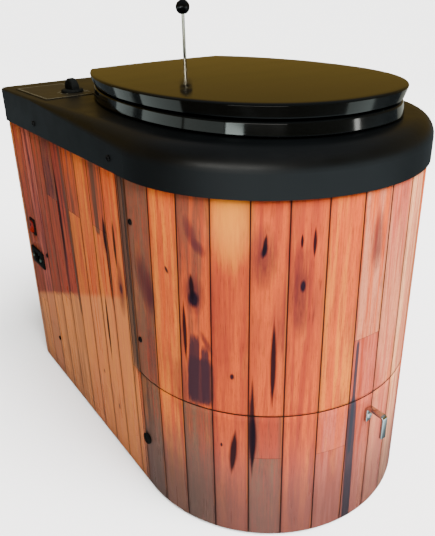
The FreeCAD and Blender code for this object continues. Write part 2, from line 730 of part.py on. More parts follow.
def hinge_leaf(inner_x, leaf_low):
    """Barrel on the hinge pin with a flat leaf that reaches forward from it, right-hand side."""
    axis = Vector(inner_x, HINGE_Y, HINGE_Z)
    barrel = bar(HINGE_BARREL_R, axis, RIGHT, HINGE_BARREL_LENGTH)
    leaf_y = (HINGE_Y - HINGE_BARREL_R - HINGE_LEAF_LENGTH, HINGE_Y)
    leaf_z = (leaf_low, leaf_low + HINGE_LEAF_WALL)
    leaf = block((inner_x, inner_x + HINGE_BARREL_LENGTH), leaf_y, leaf_z)
    bore_start = axis - RIGHT * OVERCUT
    bore = bar(HINGE_PIN_R + HINGE_PIN_FIT, bore_start, RIGHT, HINGE_BARREL_LENGTH + 2 * OVERCUT)
    return joined(barrel, leaf).cut(bore)


def seat_and_lid():
    """Seat ring and lid with their pads and hinge leaves."""
    lid = Part.makeLoft([lid_outline(LID_UNDERCUT, LID_Z), lid_outline(0, LID_Z + LID_THICK)], True, True)
    rim_edges = [e for e in lid.Edges if e.BoundBox.ZMin > LID_Z + LID_THICK - SEATING_GAP]
    lid = lid.makeFillet(LID_ROUND, rim_edges)
    seat = Part.Face(lid_outline(SEAT_INSET, SEAT_Z)).extrude(UP * SEAT_THICK)
    through = (SEAT_Z - OVERCUT, SEAT_Z + SEAT_THICK + OVERCUT)
    seat = seat.cut(oval_block(SEAT_HOLE_HALF_WIDTH, SEAT_HOLE_HALF_LENGTH, BOWL_CENTRE_Y, through))
    top_edges = [e for e in seat.Edges if e.BoundBox.ZMin > SEAT_Z + SEAT_THICK - SEATING_GAP]
    seat = seat.makeFillet(SEAT_ROUND, top_edges)
    leaf_gap = HINGE_POST_WIDTH / 2 + HINGE_SIDE_GAP
    seat_leaf_x = HINGE_HALF_SPAN - leaf_gap - HINGE_BARREL_LENGTH
    lid_leaf_x = HINGE_HALF_SPAN + leaf_gap
    return {
        "lid": lid,
        "lid_bumpers": bumpers(LID_Z - LID_BUMPER_H, LID_BUMPER_H),
        "lid_hinge_leaves": pair(hinge_leaf(lid_leaf_x, LID_Z - HINGE_LEAF_WALL)),
        "seat": seat,
        "seat_bumpers": bumpers(DECK_Z, SEAT_BUMPER_H),
        "seat_hinge_leaves": pair(hinge_leaf(seat_leaf_x, SEAT_Z + SEAT_THICK)),
    }


def seat_hinge():
    """Fixed half of the seat hinge: posts on the deck, pins, and the bolts under the posts."""
    post_x = about(HINGE_HALF_SPAN, HINGE_POST_WIDTH)
    foot = block(post_x, about(HINGE_Y, HINGE_POST_DEPTH), (DECK_Z, HINGE_Z))
    head_start = Vector(post_x[0], HINGE_Y, HINGE_Z)
    head = bar(HINGE_POST_DEPTH / 2, head_start, RIGHT, HINGE_POST_WIDTH)
    pin_half = HINGE_POST_WIDTH / 2 + HINGE_SIDE_GAP + HINGE_BARREL_LENGTH + HINGE_SIDE_GAP
    pin_start = Vector(HINGE_HALF_SPAN - pin_half, HINGE_Y, HINGE_Z)
    pin = bar(HINGE_PIN_R, pin_start, RIGHT, 2 * pin_half)
    post = joined(foot, head).cut(pin)
    bolt_top = Vector(HINGE_HALF_SPAN, HINGE_Y, DECK_Z)
    bolt = bar(HINGE_BOLT_R, bolt_top, -UP, HINGE_BOLT_LENGTH)
    nut = bar(HINGE_NUT_R, Vector(HINGE_HALF_SPAN, HINGE_Y, DECK_UNDER - HINGE_NUT_H), UP, HINGE_NUT_H)
    return {
        "hinge_posts": pair(post),
        "hinge_pins": pair(pin),
        "hinge_bolts": pair(joined(bolt, nut)),
    }


def bowl():
    """Oval funnel under the deck with a round neck, and the seal under its flange."""
    rim_z = DECK_UNDER - BOWL_GASKET_H
    neck_top = NECK_LOW + NECK_LENGTH
    half_width = BOWL_HALF_WIDTH + BOWL_TUCK
    half_length = BOWL_HALF_LENGTH + BOWL_TUCK
    neck_circle = Part.Ellipse(
        Vector(0, BOWL_CENTRE_Y + NECK_R, neck_top),
        Vector(-NECK_R, BOWL_CENTRE_Y, neck_top),
        Vector(0, BOWL_CENTRE_Y, neck_top),
    )
    inner_neck_r = NECK_R - BOWL_WALL
    inner_circle = Part.Ellipse(
        Vector(0, BOWL_CENTRE_Y + inner_neck_r, neck_top),
        Vector(-inner_neck_r, BOWL_CENTRE_Y, neck_top),
        Vector(0, BOWL_CENTRE_Y, neck_top),
    )
    outer_rim = oval(half_width + BOWL_WALL, half_length + BOWL_WALL, BOWL_CENTRE_Y, rim_z)
    inner_rim = oval(half_width, half_length, BOWL_CENTRE_Y, rim_z)
    outer = Part.makeLoft([Part.Wire([neck_circle.toShape()]), outer_rim], True, True)
    inner = Part.makeLoft([Part.Wire([inner_circle.toShape()]), inner_rim], True, True)
    neck = bar(NECK_R, Vector(0, BOWL_CENTRE_Y, NECK_LOW), UP, NECK_LENGTH)
    flange_z = (rim_z - BOWL_WALL, rim_z)
    flange = oval_block(half_width + BOWL_FLANGE, half_length + BOWL_FLANGE, BOWL_CENTRE_Y, flange_z)
    bore = bar(inner_neck_r, Vector(0, BOWL_CENTRE_Y, NECK_LOW - OVERCUT), UP, NECK_LENGTH + OVERCUT)
    shell = outer.fuse(neck).fuse(flange).cut(inner).cut(bore)
    gasket_z = (rim_z, DECK_UNDER)
    gasket = oval_block(half_width + BOWL_FLANGE, half_length + BOWL_FLANGE, BOWL_CENTRE_Y, gasket_z)
    gasket_hole_z = (rim_z - OVERCUT, DECK_UNDER + OVERCUT)
    gasket = gasket.cut(oval_block(half_width, half_length, BOWL_CENTRE_Y, gasket_hole_z))
    return {"bowl": shell, "bowl_gasket": gasket}


def chamber_wall(inner, outer):
    """Upright round wall about the chamber's axis."""
    return ring(outer, inner, Vector(0, BOWL_CENTRE_Y, CHAMBER_Z), UP, CHAMBER_HEIGHT)


def heater_element():
    """Tube heater, a ring that bends out at the back into two leads, and the holes for the leads."""
    height = CHAMBER_Z + HEATER_LIFT
    reach = HEATER_RING_R + HEATER_BEND_R
    ring_end = math.acos((HEATER_LEAD_X + HEATER_BEND_R) / reach)
    bend_y = BOWL_CENTRE_Y + reach * math.sin(ring_end)
    bend_x = HEATER_LEAD_X + HEATER_BEND_R
    middle = math.pi + ring_end / 2

    def place(side, x, y):
        return Vector(side * x, y, height)

    def side_points(side):
        lead_end = place(side, HEATER_LEAD_X, HEATER_LEAD_Y)
        bend_start = place(side, HEATER_LEAD_X, bend_y)
        bend_middle = place(
            side,
            bend_x + HEATER_BEND_R * math.cos(middle),
            bend_y + HEATER_BEND_R * math.sin(middle),
        )
        ring_start = place(
            side,
            HEATER_RING_R * math.cos(ring_end),
            BOWL_CENTRE_Y + HEATER_RING_R * math.sin(ring_end),
        )
        return lead_end, bend_start, bend_middle, ring_start

    right_end, right_bend, right_middle, right_ring = side_points(1)
    left_end, left_bend, left_middle, left_ring = side_points(-1)
    ring_front = place(1, 0, BOWL_CENTRE_Y - HEATER_RING_R)
    path = Part.Wire([
        Part.LineSegment(right_end, right_bend).toShape(),
        Part.Arc(right_bend, right_middle, right_ring).toShape(),
        Part.Arc(right_ring, ring_front, left_ring).toShape(),
        Part.Arc(left_ring, left_middle, left_bend).toShape(),
        Part.LineSegment(left_bend, left_end).toShape(),
    ])
    section = Part.Wire([Part.Circle(right_end, BACK, HEATER_TUBE_R).toShape()])
    tube = path.makePipeShell([section], True, False)
    hole_r = HEATER_TUBE_R + WALL_HOLE_GAP
    hole_length = HEATER_LEAD_Y - bend_y
    holes = [bar(hole_r, start, BACK, hole_length) for start in (right_bend, left_bend)]
    return tube, holes


def burn_chamber():
    """Round burn chamber over the ash pan: liner, insulation, casing, top plate, heater and probe."""
    liner_outer = LINER_R + LINER_WALL
    insulation_inner = liner_outer + SEATING_GAP
    insulation_outer = insulation_inner + INSULATION_WALL
    casing_inner = insulation_outer + SEATING_GAP
    casing_outer = casing_inner + CASING_WALL
    heater, lead_holes = heater_element()
    probe_z = CHAMBER_TOP - PROBE_Z_DOWN
    probe_tip = Vector(-LINER_R + PROBE_INSIDE, BOWL_CENTRE_Y, probe_z)
    probe_length = casing_outer - LINER_R + PROBE_INSIDE
    stem = bar(PROBE_R, probe_tip, -RIGHT, probe_length)
    boss_start = Vector(-casing_outer, BOWL_CENTRE_Y, probe_z)
    boss = bar(PROBE_BOSS_R, boss_start, -RIGHT, PROBE_BOSS_H)
    probe = joined(stem, boss)
    probe_hole = bar(PROBE_R + WALL_HOLE_GAP, probe_tip, -RIGHT, probe_length)

    shaft_hole = bar(SHAFT_R + WALL_HOLE_GAP, Vector(SHAFT_X, BOWL_CENTRE_Y, SHAFT_Z), BACK, casing_outer)
    duct_start = Vector(EXHAUST_X, BOWL_CENTRE_Y, EXHAUST_Z)
    duct_hole = bar(DUCT_R + WALL_HOLE_GAP, duct_start, BACK, casing_outer)
    walls = {
        "chamber_liner": chamber_wall(LINER_R, liner_outer),
        "chamber_insulation": chamber_wall(insulation_inner, insulation_outer),
        "chamber_casing": chamber_wall(casing_inner, casing_outer),
    }
    for name, wall in walls.items():
        for hole in lead_holes + [probe_hole, shaft_hole, duct_hole]:
            wall = wall.cut(hole)
        walls[name] = wall
    plate_start = Vector(0, BOWL_CENTRE_Y, CHAMBER_TOP)
    plate = ring(casing_outer, NECK_R + NECK_HOLE_GAP, plate_start, UP, CHAMBER_PLATE)
    core = bar(LINER_R, Vector(0, BOWL_CENTRE_Y, CHAMBER_Z), UP, CHAMBER_HEIGHT)
    duct_length = BLOWER_Y - BOWL_CENTRE_Y
    duct = ring(DUCT_R, DUCT_R - DUCT_WALL, duct_start, BACK, duct_length).cut(core)
    return {
        **walls,
        "chamber_plate": plate,
        "heater_element": heater,
        "temperature_probe": probe,
        "exhaust_duct": duct,
    }


def at_rest_angle(shape):
    """A crank drawn level, turned down to where it stands with the trap shut."""
    shape.rotate(Vector(SHAFT_X, 0, SHAFT_Z), BACK, TRAP_OPEN_DEG / 2)
    return shape


def trap():
    """Flap under the bowl's neck, its shaft, crank and balance weight, and the bearings."""
    arm_top = TRAP_TOP - TRAP_WALL
    flap = bar(TRAP_R, Vector(0, BOWL_CENTRE_Y, arm_top), UP, TRAP_WALL)
    for offset in (-TRAP_HUB_OFFSET, TRAP_HUB_OFFSET):
        span_y = about(BOWL_CENTRE_Y + offset, TRAP_HUB_LENGTH)
        hub = bar(TRAP_HUB_R, Vector(SHAFT_X, span_y[0], SHAFT_Z), BACK, TRAP_HUB_LENGTH)
        arm = block((TRAP_R / 2, SHAFT_X), span_y, (arm_top - TRAP_ARM_WALL, arm_top))
        flap = flap.fuse(hub).fuse(arm)
    shaft_front = BOWL_CENTRE_Y - HANGER_OFFSET - HANGER_LENGTH / 2
    shaft_rear = REAR_INNER - SEATING_GAP
    shaft_start = Vector(SHAFT_X, shaft_front, SHAFT_Z)
    shaft = bar(SHAFT_R, shaft_start, BACK, shaft_rear - shaft_front)
    flap = flap.cut(shaft).removeSplitter()

    crank_y = (ROD_Y - YOKE_WALL / 2 - YOKE_SIDE_GAP - CRANK_WALL, ROD_Y - YOKE_WALL / 2 - YOKE_SIDE_GAP)
    hub = bar(CRANK_HUB_R, Vector(SHAFT_X, crank_y[0], SHAFT_Z), BACK, CRANK_WALL)
    pin_x = SHAFT_X + CRANK_REACH
    tip = bar(CRANK_WIDTH / 2, Vector(pin_x, crank_y[0], SHAFT_Z), BACK, CRANK_WALL)
    web = block((SHAFT_X, pin_x), crank_y, about(SHAFT_Z, CRANK_WIDTH))
    pin_length = CRANK_WALL + YOKE_SIDE_GAP + YOKE_WALL + YOKE_SIDE_GAP
    pin = bar(CRANK_PIN_R, Vector(pin_x, crank_y[0], SHAFT_Z), BACK, pin_length)
    crank = at_rest_angle(joined(hub, tip, web, pin).cut(shaft))

    weight_hub = bar(CRANK_HUB_R, Vector(SHAFT_X, WEIGHT_Y - CRANK_WIDTH / 2, SHAFT_Z), BACK, CRANK_WIDTH)
    weight_x = SHAFT_X + WEIGHT_REACH
    weight_arm = block((SHAFT_X, weight_x), about(WEIGHT_Y, CRANK_WIDTH), about(SHAFT_Z, CRANK_WALL))
    mass = block(about(weight_x, WEIGHT_SIZE), about(WEIGHT_Y, WEIGHT_SIZE), about(SHAFT_Z, WEIGHT_SIZE))
    weight = at_rest_angle(joined(weight_hub, weight_arm, mass).cut(shaft))

    bore_length = shaft_rear - shaft_front + 2 * OVERCUT
    bore = bar(SHAFT_R + SHAFT_FIT, shaft_start - BACK * OVERCUT, BACK, bore_length)
    hanger_z = (SHAFT_Z - HANGER_BELOW_SHAFT, CHAMBER_TOP)
    bearings = []
    for offset in (-HANGER_OFFSET, HANGER_OFFSET):
        span_y = about(BOWL_CENTRE_Y + offset, HANGER_LENGTH)
        bearings.append(block(about(SHAFT_X, HANGER_WIDTH), span_y, hanger_z).cut(bore))
    rear_y = (REAR_INNER - REAR_BEARING_LENGTH, REAR_INNER)
    rear = block(about(SHAFT_X, REAR_BEARING_SIZE), rear_y, about(SHAFT_Z, REAR_BEARING_SIZE))
    bearings.append(rear.cut(bore))
    return {
        "trap_flap": flap,
        "trap_shaft": shaft,
        "trap_crank": crank,
        "trap_weight": weight,
        "trap_bearings": Part.makeCompound(bearings),
    }


def lever():
    """Pull lever: ball knob, rod, slotted yoke on the crank pin, and the bush in the deck."""
    pin_low = SHAFT_Z - CRANK_REACH * math.sin(HALF_SWING)
    yoke_z = about(pin_low, YOKE_HEIGHT)
    yoke = block(about(ROD_X, YOKE_WIDTH), about(ROD_Y, YOKE_WALL), yoke_z)
    sway = CRANK_REACH * (1 - math.cos(HALF_SWING))
    slot_half = CRANK_PIN_R + YOKE_SLOT_PLAY
    slot_y = about(ROD_Y, YOKE_WALL + 2 * OVERCUT)
    slot_x = about(ROD_X, sway)
    yoke = yoke.cut(block(slot_x, slot_y, about(pin_low, 2 * slot_half)))
    for x in slot_x:
        yoke = yoke.cut(bar(slot_half, Vector(x, slot_y[0], pin_low), BACK, slot_y[1] - slot_y[0]))
    rod = bar(ROD_R, Vector(ROD_X, ROD_Y, yoke_z[1]), UP, BALL_Z - yoke_z[1])
    centre = Vector(ROD_X, ROD_Y, BALL_Z)
    ball = Part.makeSphere(BALL_R, centre)
    flat_z = (BALL_Z - BALL_R - OVERCUT, BALL_Z - BALL_R + BALL_FLAT)
    ball = ball.cut(block(about(ROD_X, 2 * BALL_R), about(ROD_Y, 2 * BALL_R), flat_z))
    nub = bar(BALL_NUB_R, centre, UP, BALL_R + BALL_NUB_H)
    ball = joined(ball, nub).cut(rod)
    collar = bar(BUSH_COLLAR_R, Vector(ROD_X, ROD_Y, DECK_Z), UP, BUSH_COLLAR_H)
    barrel_low = DECK_UNDER - BUSH_NUT_H
    barrel = bar(BUSH_R, Vector(ROD_X, ROD_Y, barrel_low), UP, DECK_Z - barrel_low)
    nut = bar(BUSH_COLLAR_R, Vector(ROD_X, ROD_Y, barrel_low), UP, BUSH_NUT_H)
    bore_length = DECK_Z + BUSH_COLLAR_H - barrel_low + 2 * OVERCUT
    bore = bar(ROD_R + ROD_FIT, Vector(ROD_X, ROD_Y, barrel_low - OVERCUT), UP, bore_length)
    bush = joined(collar, barrel, nut).cut(bore)
    return {"lever_ball": ball, "lever_rod": rod, "lever_yoke": yoke, "lever_bush": bush}


def flue_x():
    """Middle of the blower's outlet, where the flue pipe leaves."""
    return EXHAUST_X + BLOWER_R - BLOWER_OUTLET_WIDTH / 2


def flue_z():
    """Height of the flue pipe's axis."""
    return EXHAUST_Z + BLOWER_OUTLET_RISE - FLUE_BELOW_OUTLET_TOP


def exhaust():
    """Blower between the chamber and the flue: housing, impeller, motor, stand and flue pipe."""
    centre = Vector(EXHAUST_X, BLOWER_Y, EXHAUST_Z)
    outlet_x = (EXHAUST_X + BLOWER_R - BLOWER_OUTLET_WIDTH, EXHAUST_X + BLOWER_R)
    span_y = (BLOWER_Y, BLOWER_Y + BLOWER_LENGTH)
    outlet_z = (EXHAUST_Z, EXHAUST_Z + BLOWER_OUTLET_RISE)
    drum = bar(BLOWER_R, centre, BACK, BLOWER_LENGTH)
    outlet = block(outlet_x, span_y, outlet_z)
    wall = BLOWER_WALL
    hollow = bar(BLOWER_R - wall, centre + BACK * wall, BACK, BLOWER_LENGTH - 2 * wall)
    outlet_hollow = block(
        (outlet_x[0] + wall, outlet_x[1] - wall),
        (span_y[0] + wall, span_y[1] - wall),
        (outlet_z[0], outlet_z[1] - wall),
    )
    inlet_hole = bar(DUCT_R - DUCT_WALL, centre - BACK * OVERCUT, BACK, wall + 2 * OVERCUT)
    rear_face = Vector(EXHAUST_X, span_y[1], EXHAUST_Z)
    shaft_hole = bar(MOTOR_SHAFT_R + WALL_HOLE_GAP, rear_face + BACK * OVERCUT, -BACK, wall + 2 * OVERCUT)
    flue_start = Vector(flue_x(), span_y[1], flue_z())
    inner_flue_r = FLUE_R - FLUE_WALL
    flue_hole = bar(inner_flue_r, flue_start + BACK * OVERCUT, -BACK, wall + 2 * OVERCUT)
    housing = joined(drum, outlet).cut(hollow).cut(outlet_hollow)
    housing = housing.cut(inlet_hole).cut(shaft_hole).cut(flue_hole)

    impeller_gap = (BLOWER_LENGTH - IMPELLER_LENGTH) / 2
    wheel_start = Vector(EXHAUST_X, BLOWER_Y + impeller_gap, EXHAUST_Z)
    back_plate_start = wheel_start + BACK * (IMPELLER_LENGTH - IMPELLER_BLADE_WALL)
    wheel = bar(IMPELLER_R, back_plate_start, BACK, IMPELLER_BLADE_WALL)
    front_ring_inner = IMPELLER_R - IMPELLER_BLADE_DEPTH
    front_ring = ring(IMPELLER_R, front_ring_inner, wheel_start, BACK, IMPELLER_BLADE_WALL)
    hub = bar(IMPELLER_HUB_R, wheel_start + BACK * (IMPELLER_LENGTH / 2), BACK, IMPELLER_LENGTH / 2)
    blades = []
    blade_x = (EXHAUST_X + front_ring_inner, EXHAUST_X + IMPELLER_R - IMPELLER_BLADE_WALL)
    blade_y = (wheel_start.y, wheel_start.y + IMPELLER_LENGTH)
    for i in range(IMPELLER_BLADES):
        blade = block(blade_x, blade_y, about(EXHAUST_Z, IMPELLER_BLADE_WALL))
        blade.rotate(wheel_start, BACK, 360 * i / IMPELLER_BLADES)
        blades.append(blade)
    motor_shaft_length = impeller_gap + IMPELLER_LENGTH / 2
    bore_start = rear_face + BACK * OVERCUT
    shaft_bore = bar(MOTOR_SHAFT_R + IMPELLER_FIT, bore_start, -BACK, motor_shaft_length + OVERCUT)
    impeller = joined(wheel, front_ring, hub, *blades).cut(shaft_bore)

    motor_body = bar(MOTOR_R, rear_face, BACK, MOTOR_LENGTH)
    motor = joined(motor_body, bar(MOTOR_SHAFT_R, rear_face, -BACK, motor_shaft_length))
    stand_y = (span_y[1], span_y[1] + STAND_WALL)
    stand_plate = block(about(EXHAUST_X, STAND_WIDTH), stand_y, (BASE_WALL, EXHAUST_Z + STAND_HEAD))
    stand_foot = block(
        about(EXHAUST_X, STAND_WIDTH),
        (span_y[1], span_y[1] + STAND_FOOT),
        (BASE_WALL, BASE_WALL + STAND_WALL),
    )
    motor_hole = bar(MOTOR_R + WALL_HOLE_GAP, rear_face - BACK * OVERCUT, BACK, STAND_WALL + 2 * OVERCUT)
    stand = joined(stand_plate, stand_foot).cut(motor_hole)

    flue_length = FLANK_LENGTH + FLUE_PROUD - span_y[1]
    pipe = bar(FLUE_R, flue_start, BACK, flue_length)
    flange = bar(FLUE_FLANGE_R, Vector(flue_x(), REAR_OUTER, flue_z()), BACK, FLUE_FLANGE_WALL)
    flue_bore = bar(inner_flue_r, flue_start - BACK * OVERCUT, BACK, flue_length + 2 * OVERCUT)
    flue = joined(pipe, flange).cut(flue_bore)
    stand = stand.cut(pipe)
    return {
        "blower_housing": housing,
        "blower_impeller": impeller,
        "blower_motor": motor,
        "blower_stand": stand,
        "flue_pipe": flue,
    }


def thumbscrew():
    """Right-hand thumbscrew that clamps the drawer front to its post."""
    seat = Vector(BODY_R, THUMB_Y, THUMB_Z)
    head = bar(THUMB_HEAD_R, seat, RIGHT, THUMB_HEAD_H)
    stud = bar(THUMB_STUD_R, seat, -RIGHT, THUMB_STUD_LENGTH)
    return joined(head, stud)


def pull_screw_seat():
    """Where the pull's screw head sits, on the pull's tab."""
    return Vector(PULL_X, -BODY_R - PULL_WALL, PULL_TOP - PULL_WALL - (PULL_TAB - PULL_WALL) / 2)


def ash_drawer():
    """Drawer with its curved front, tray, ash pan, pull and thumbscrews, and the runners on the base."""
    front_z = (PANEL_LIFT, DRAWER_SEAM_Z - DRAWER_SEAM_GAP)
    inner_r = PANEL_INNER + DRAWER_RUB_GAP
    front = u_block(BODY_R, PANEL_SEAM_Y, front_z)
    front = front.cut(u_block(inner_r, PANEL_SEAM_Y + OVERCUT, front_z))
    stud_seat = Vector(BODY_R + OVERCUT, THUMB_Y, THUMB_Z)
    stud_hole = bar(THUMB_STUD_R + THUMB_FIT, stud_seat, -RIGHT, THUMB_STUD_LENGTH)
    front = front.cut(stud_hole).cut(mirrored(stud_hole))
    pull_hole = screw_hole(pull_screw_seat(), -BACK)
    front = front.cut(pull_hole)

    nose_r = inner_r - SEATING_GAP
    floor_z = (TRAY_Z, TRAY_Z + TRAY_WALL)
    nose_rear = PANEL_SEAM_Y - POST_BEFORE_SEAM - TRAY_NOSE_BEHIND
    nose = bar(nose_r, Vector(0, 0, TRAY_Z), UP, TRAY_WALL)
    nose = nose.common(block((-nose_r, nose_r), (-nose_r, nose_rear), floor_z))
    tray_x = (-TRAY_HALF_WIDTH, TRAY_HALF_WIDTH)
    tray_y = (TRAY_FRONT_Y, TRAY_REAR_Y)
    tub = block(tray_x, tray_y, (TRAY_Z, TRAY_TOP))
    tub_hollow = block(
        (tray_x[0] + TRAY_WALL, tray_x[1] - TRAY_WALL),
        (tray_y[0] + TRAY_WALL, tray_y[1] - TRAY_WALL),
        (TRAY_Z + TRAY_WALL, TRAY_TOP + OVERCUT),
    )
    web_reach = math.sqrt(nose_r ** 2 - (TRAY_WEB_X + TRAY_WALL) ** 2)
    web_z = (TRAY_Z, TRAY_Z + TRAY_WEB_HEIGHT)
    web = block((TRAY_WEB_X, TRAY_WEB_X + TRAY_WALL), (-web_reach, TRAY_FRONT_Y), web_z)
    tray = joined(nose, tub.cut(tub_hollow), web, mirrored(web))

    pan_x = (tray_x[0] + TRAY_WALL + PAN_GAP, tray_x[1] - TRAY_WALL - PAN_GAP)
    pan_y = (tray_y[0] + TRAY_WALL + PAN_GAP, tray_y[1] - TRAY_WALL - PAN_GAP)
    pan_low = TRAY_Z + TRAY_WALL
    pan = block(pan_x, pan_y, (pan_low, pan_low + PAN_HEIGHT))
    pan = pan.cut(block(
        (pan_x[0] + PAN_WALL, pan_x[1] - PAN_WALL),
        (pan_y[0] + PAN_WALL, pan_y[1] - PAN_WALL),
        (pan_low + PAN_WALL, pan_low + PAN_HEIGHT + OVERCUT),
    ))

    pull_x = about(PULL_X, PULL_WIDTH)
    face = -BODY_R
    tip = face - PULL_REACH
    tab = block(pull_x, (face - PULL_WALL, face), (PULL_TOP - PULL_TAB, PULL_TOP))
    arm = block(pull_x, (tip, face), (PULL_TOP - PULL_WALL, PULL_TOP))
    leg = block(pull_x, (tip, tip + PULL_WALL), (PULL_TOP - PULL_DROP, PULL_TOP))
    pull = joined(tab, arm, leg).cut(pull_hole)
    pull_screw = screw(pull_screw_seat(), -BACK)

    runner_y = (TRAY_FRONT_Y, TRAY_REAR_Y)
    runner = block((RUNNER_X, RUNNER_X + RUNNER_WIDTH), runner_y, (BASE_WALL, BASE_WALL + RUNNER_HEIGHT))
    right_thumb = thumbscrew()
    return {
        "drawer_front": front,
        "drawer_tray": tray,
        "ash_pan": pan,
        "drawer_pull": pull,
        "drawer_pull_screw": pull_screw,
        "drawer_runners": pair(runner),
        "right_thumbscrew": right_thumb,
        "left_thumbscrew": mirrored(right_thumb),
    }


def timer():
    """Control plate on the deck, pointer knob, its spindle and the timer body below."""
    plate_z = (DECK_Z, DECK_Z + PLATE_WALL)
    plate = block(PLATE_X, PLATE_Y, plate_z)
    spindle_hole_r = SPINDLE_R + SPINDLE_HOLE_GAP
    plate_hole = Vector(KNOB_X, KNOB_Y, DECK_Z - OVERCUT)
    plate = plate.cut(bar(spindle_hole_r, plate_hole, UP, PLATE_WALL + 2 * OVERCUT))

    knob_low = DECK_Z + PLATE_WALL + SEATING_GAP
    base = Vector(KNOB_X, KNOB_Y, knob_low)
    skirt = bar(KNOB_SKIRT_R, base, UP, KNOB_SKIRT_H)
    grip_x = about(KNOB_X, KNOB_BAR_WIDTH)
    grip = block(grip_x, about(KNOB_Y, KNOB_BAR_LENGTH), (knob_low, knob_low + KNOB_HEIGHT))
    arch_start = Vector(grip_x[0], KNOB_Y, knob_low + KNOB_HEIGHT - KNOB_ARCH_R)
    grip = grip.common(bar(KNOB_ARCH_R, arch_start, RIGHT, KNOB_BAR_WIDTH))
    arch_edges = [e for e in grip.Edges if isinstance(e.Curve, Part.Circle)]
    grip = grip.makeFillet(KNOB_ROUND, arch_edges)
    spindle_low = DECK_UNDER - SPINDLE_IN_TIMER
    spindle_length = knob_low + SPINDLE_IN_KNOB - spindle_low
    spindle = bar(SPINDLE_R, Vector(KNOB_X, KNOB_Y, spindle_low), UP, spindle_length)
    knob = joined(skirt, grip).cut(spindle)

    body_z = (DECK_UNDER - TIMER_HEIGHT, DECK_UNDER)
    body = block(about(KNOB_X, TIMER_SIZE), about(KNOB_Y, TIMER_SIZE), body_z)
    socket_start = Vector(KNOB_X, KNOB_Y, spindle_low - SEATING_GAP)
    socket = bar(SPINDLE_R + SPINDLE_FIT, socket_start, UP, SPINDLE_IN_TIMER + SEATING_GAP + OVERCUT)
    return {
        "control_plate": plate,
        "timer_knob": knob,
        "timer_spindle": spindle,
        "timer_body": body.cut(socket),
    }


def power_switch():
    """Rocker switch on the left flank: frame with a pocket, and the rocker on its pivot pins."""
    outer_x = -BODY_R - SWITCH_BEZEL_PROUD
    bezel = block(
        (outer_x, -BODY_R),
        about(SWITCH_Y, SWITCH_BEZEL_LENGTH),
        about(SWITCH_Z, SWITCH_BEZEL_HEIGHT),
    )
    body_length = ROCKER_LENGTH + 2 * (ROCKER_GAP + SWITCH_RIM)
    body_height = SWITCH_BEZEL_HEIGHT - 2 * SWITCH_RIM
    body_x = (-BODY_R, -BODY_R + SWITCH_DEPTH)
    body = block(body_x, about(SWITCH_Y, body_length), about(SWITCH_Z, body_height))
    reach = math.hypot(ROCKER_HEIGHT / 2, max(ROCKER_ROOT, ROCKER_PROUD)) + ROCKER_GAP
    pocket_x = (outer_x - OVERCUT, -BODY_R + reach)
    pocket = block(pocket_x, about(SWITCH_Y, ROCKER_LENGTH + 2 * ROCKER_GAP), about(SWITCH_Z, 2 * reach))
    pin_length = ROCKER_LENGTH + 2 * ROCKER_PIN_LENGTH
    pin_start = Vector(-BODY_R, SWITCH_Y - pin_length / 2, SWITCH_Z)
    pin = bar(ROCKER_PIN_R, pin_start, BACK, pin_length)
    pin_hole_start = pin_start - BACK * ROCKER_GAP
    pin_hole = bar(ROCKER_PIN_R + ROCKER_PIN_FIT, pin_hole_start, BACK, pin_length + 2 * ROCKER_GAP)
    frame_solid = joined(bezel, body).cut(pocket).cut(pin_hole)

    half = ROCKER_HEIGHT / 2
    y = SWITCH_Y - ROCKER_LENGTH / 2
    profile = [
        Vector(-BODY_R + ROCKER_ROOT, y, SWITCH_Z - half),
        Vector(-BODY_R - ROCKER_PROUD, y, SWITCH_Z - half),
        Vector(-BODY_R - ROCKER_PROUD + ROCKER_DISH, y, SWITCH_Z),
        Vector(-BODY_R - ROCKER_PROUD, y, SWITCH_Z + half),
        Vector(-BODY_R + ROCKER_ROOT, y, SWITCH_Z + half),
    ]
    outline = Part.makePolygon(profile + profile[:1])
    rocker = joined(Part.Face(outline).extrude(BACK * ROCKER_LENGTH), pin)
    rocker.rotate(Vector(-BODY_R, 0, SWITCH_Z), BACK, ROCKER_TILT_DEG)
    return {"switch_frame": frame_solid, "switch_rocker": rocker}


def mains_inlet():
    """Mains inlet on the left flank with its three pins."""
    outer_x = -BODY_R - INLET_BEZEL_PROUD
    bezel = block(
        (outer_x, -BODY_R),
        about(INLET_Y, INLET_BEZEL_LENGTH),
        about(INLET_Z, INLET_BEZEL_HEIGHT),
    )
    body = block(
        (-BODY_R, -BODY_R + INLET_DEPTH),
        about(INLET_Y, INLET_BODY_LENGTH),
        about(INLET_Z, INLET_BODY_HEIGHT),
    )
    recess_floor = outer_x + INLET_RECESS_DEPTH
    recess = block(
        (outer_x - OVERCUT, recess_floor),
        about(INLET_Y, INLET_RECESS_LENGTH),
        about(INLET_Z, INLET_RECESS_HEIGHT),
    )
    places = [
        (INLET_Y - INLET_PIN_SPACING, INLET_Z + INLET_LIVE_RISE),
        (INLET_Y + INLET_PIN_SPACING, INLET_Z + INLET_LIVE_RISE),
        (INLET_Y, INLET_Z - INLET_EARTH_DROP),
    ]
    pins = []
    for y, z in places:
        pin_x = (recess_floor - INLET_PIN_LENGTH, recess_floor)
        pins.append(block(pin_x, about(y, INLET_PIN_WIDTH), about(z, INLET_PIN_HEIGHT)))
    return {"mains_inlet": joined(bezel, body).cut(recess), "inlet_pins": Part.makeCompound(pins)}


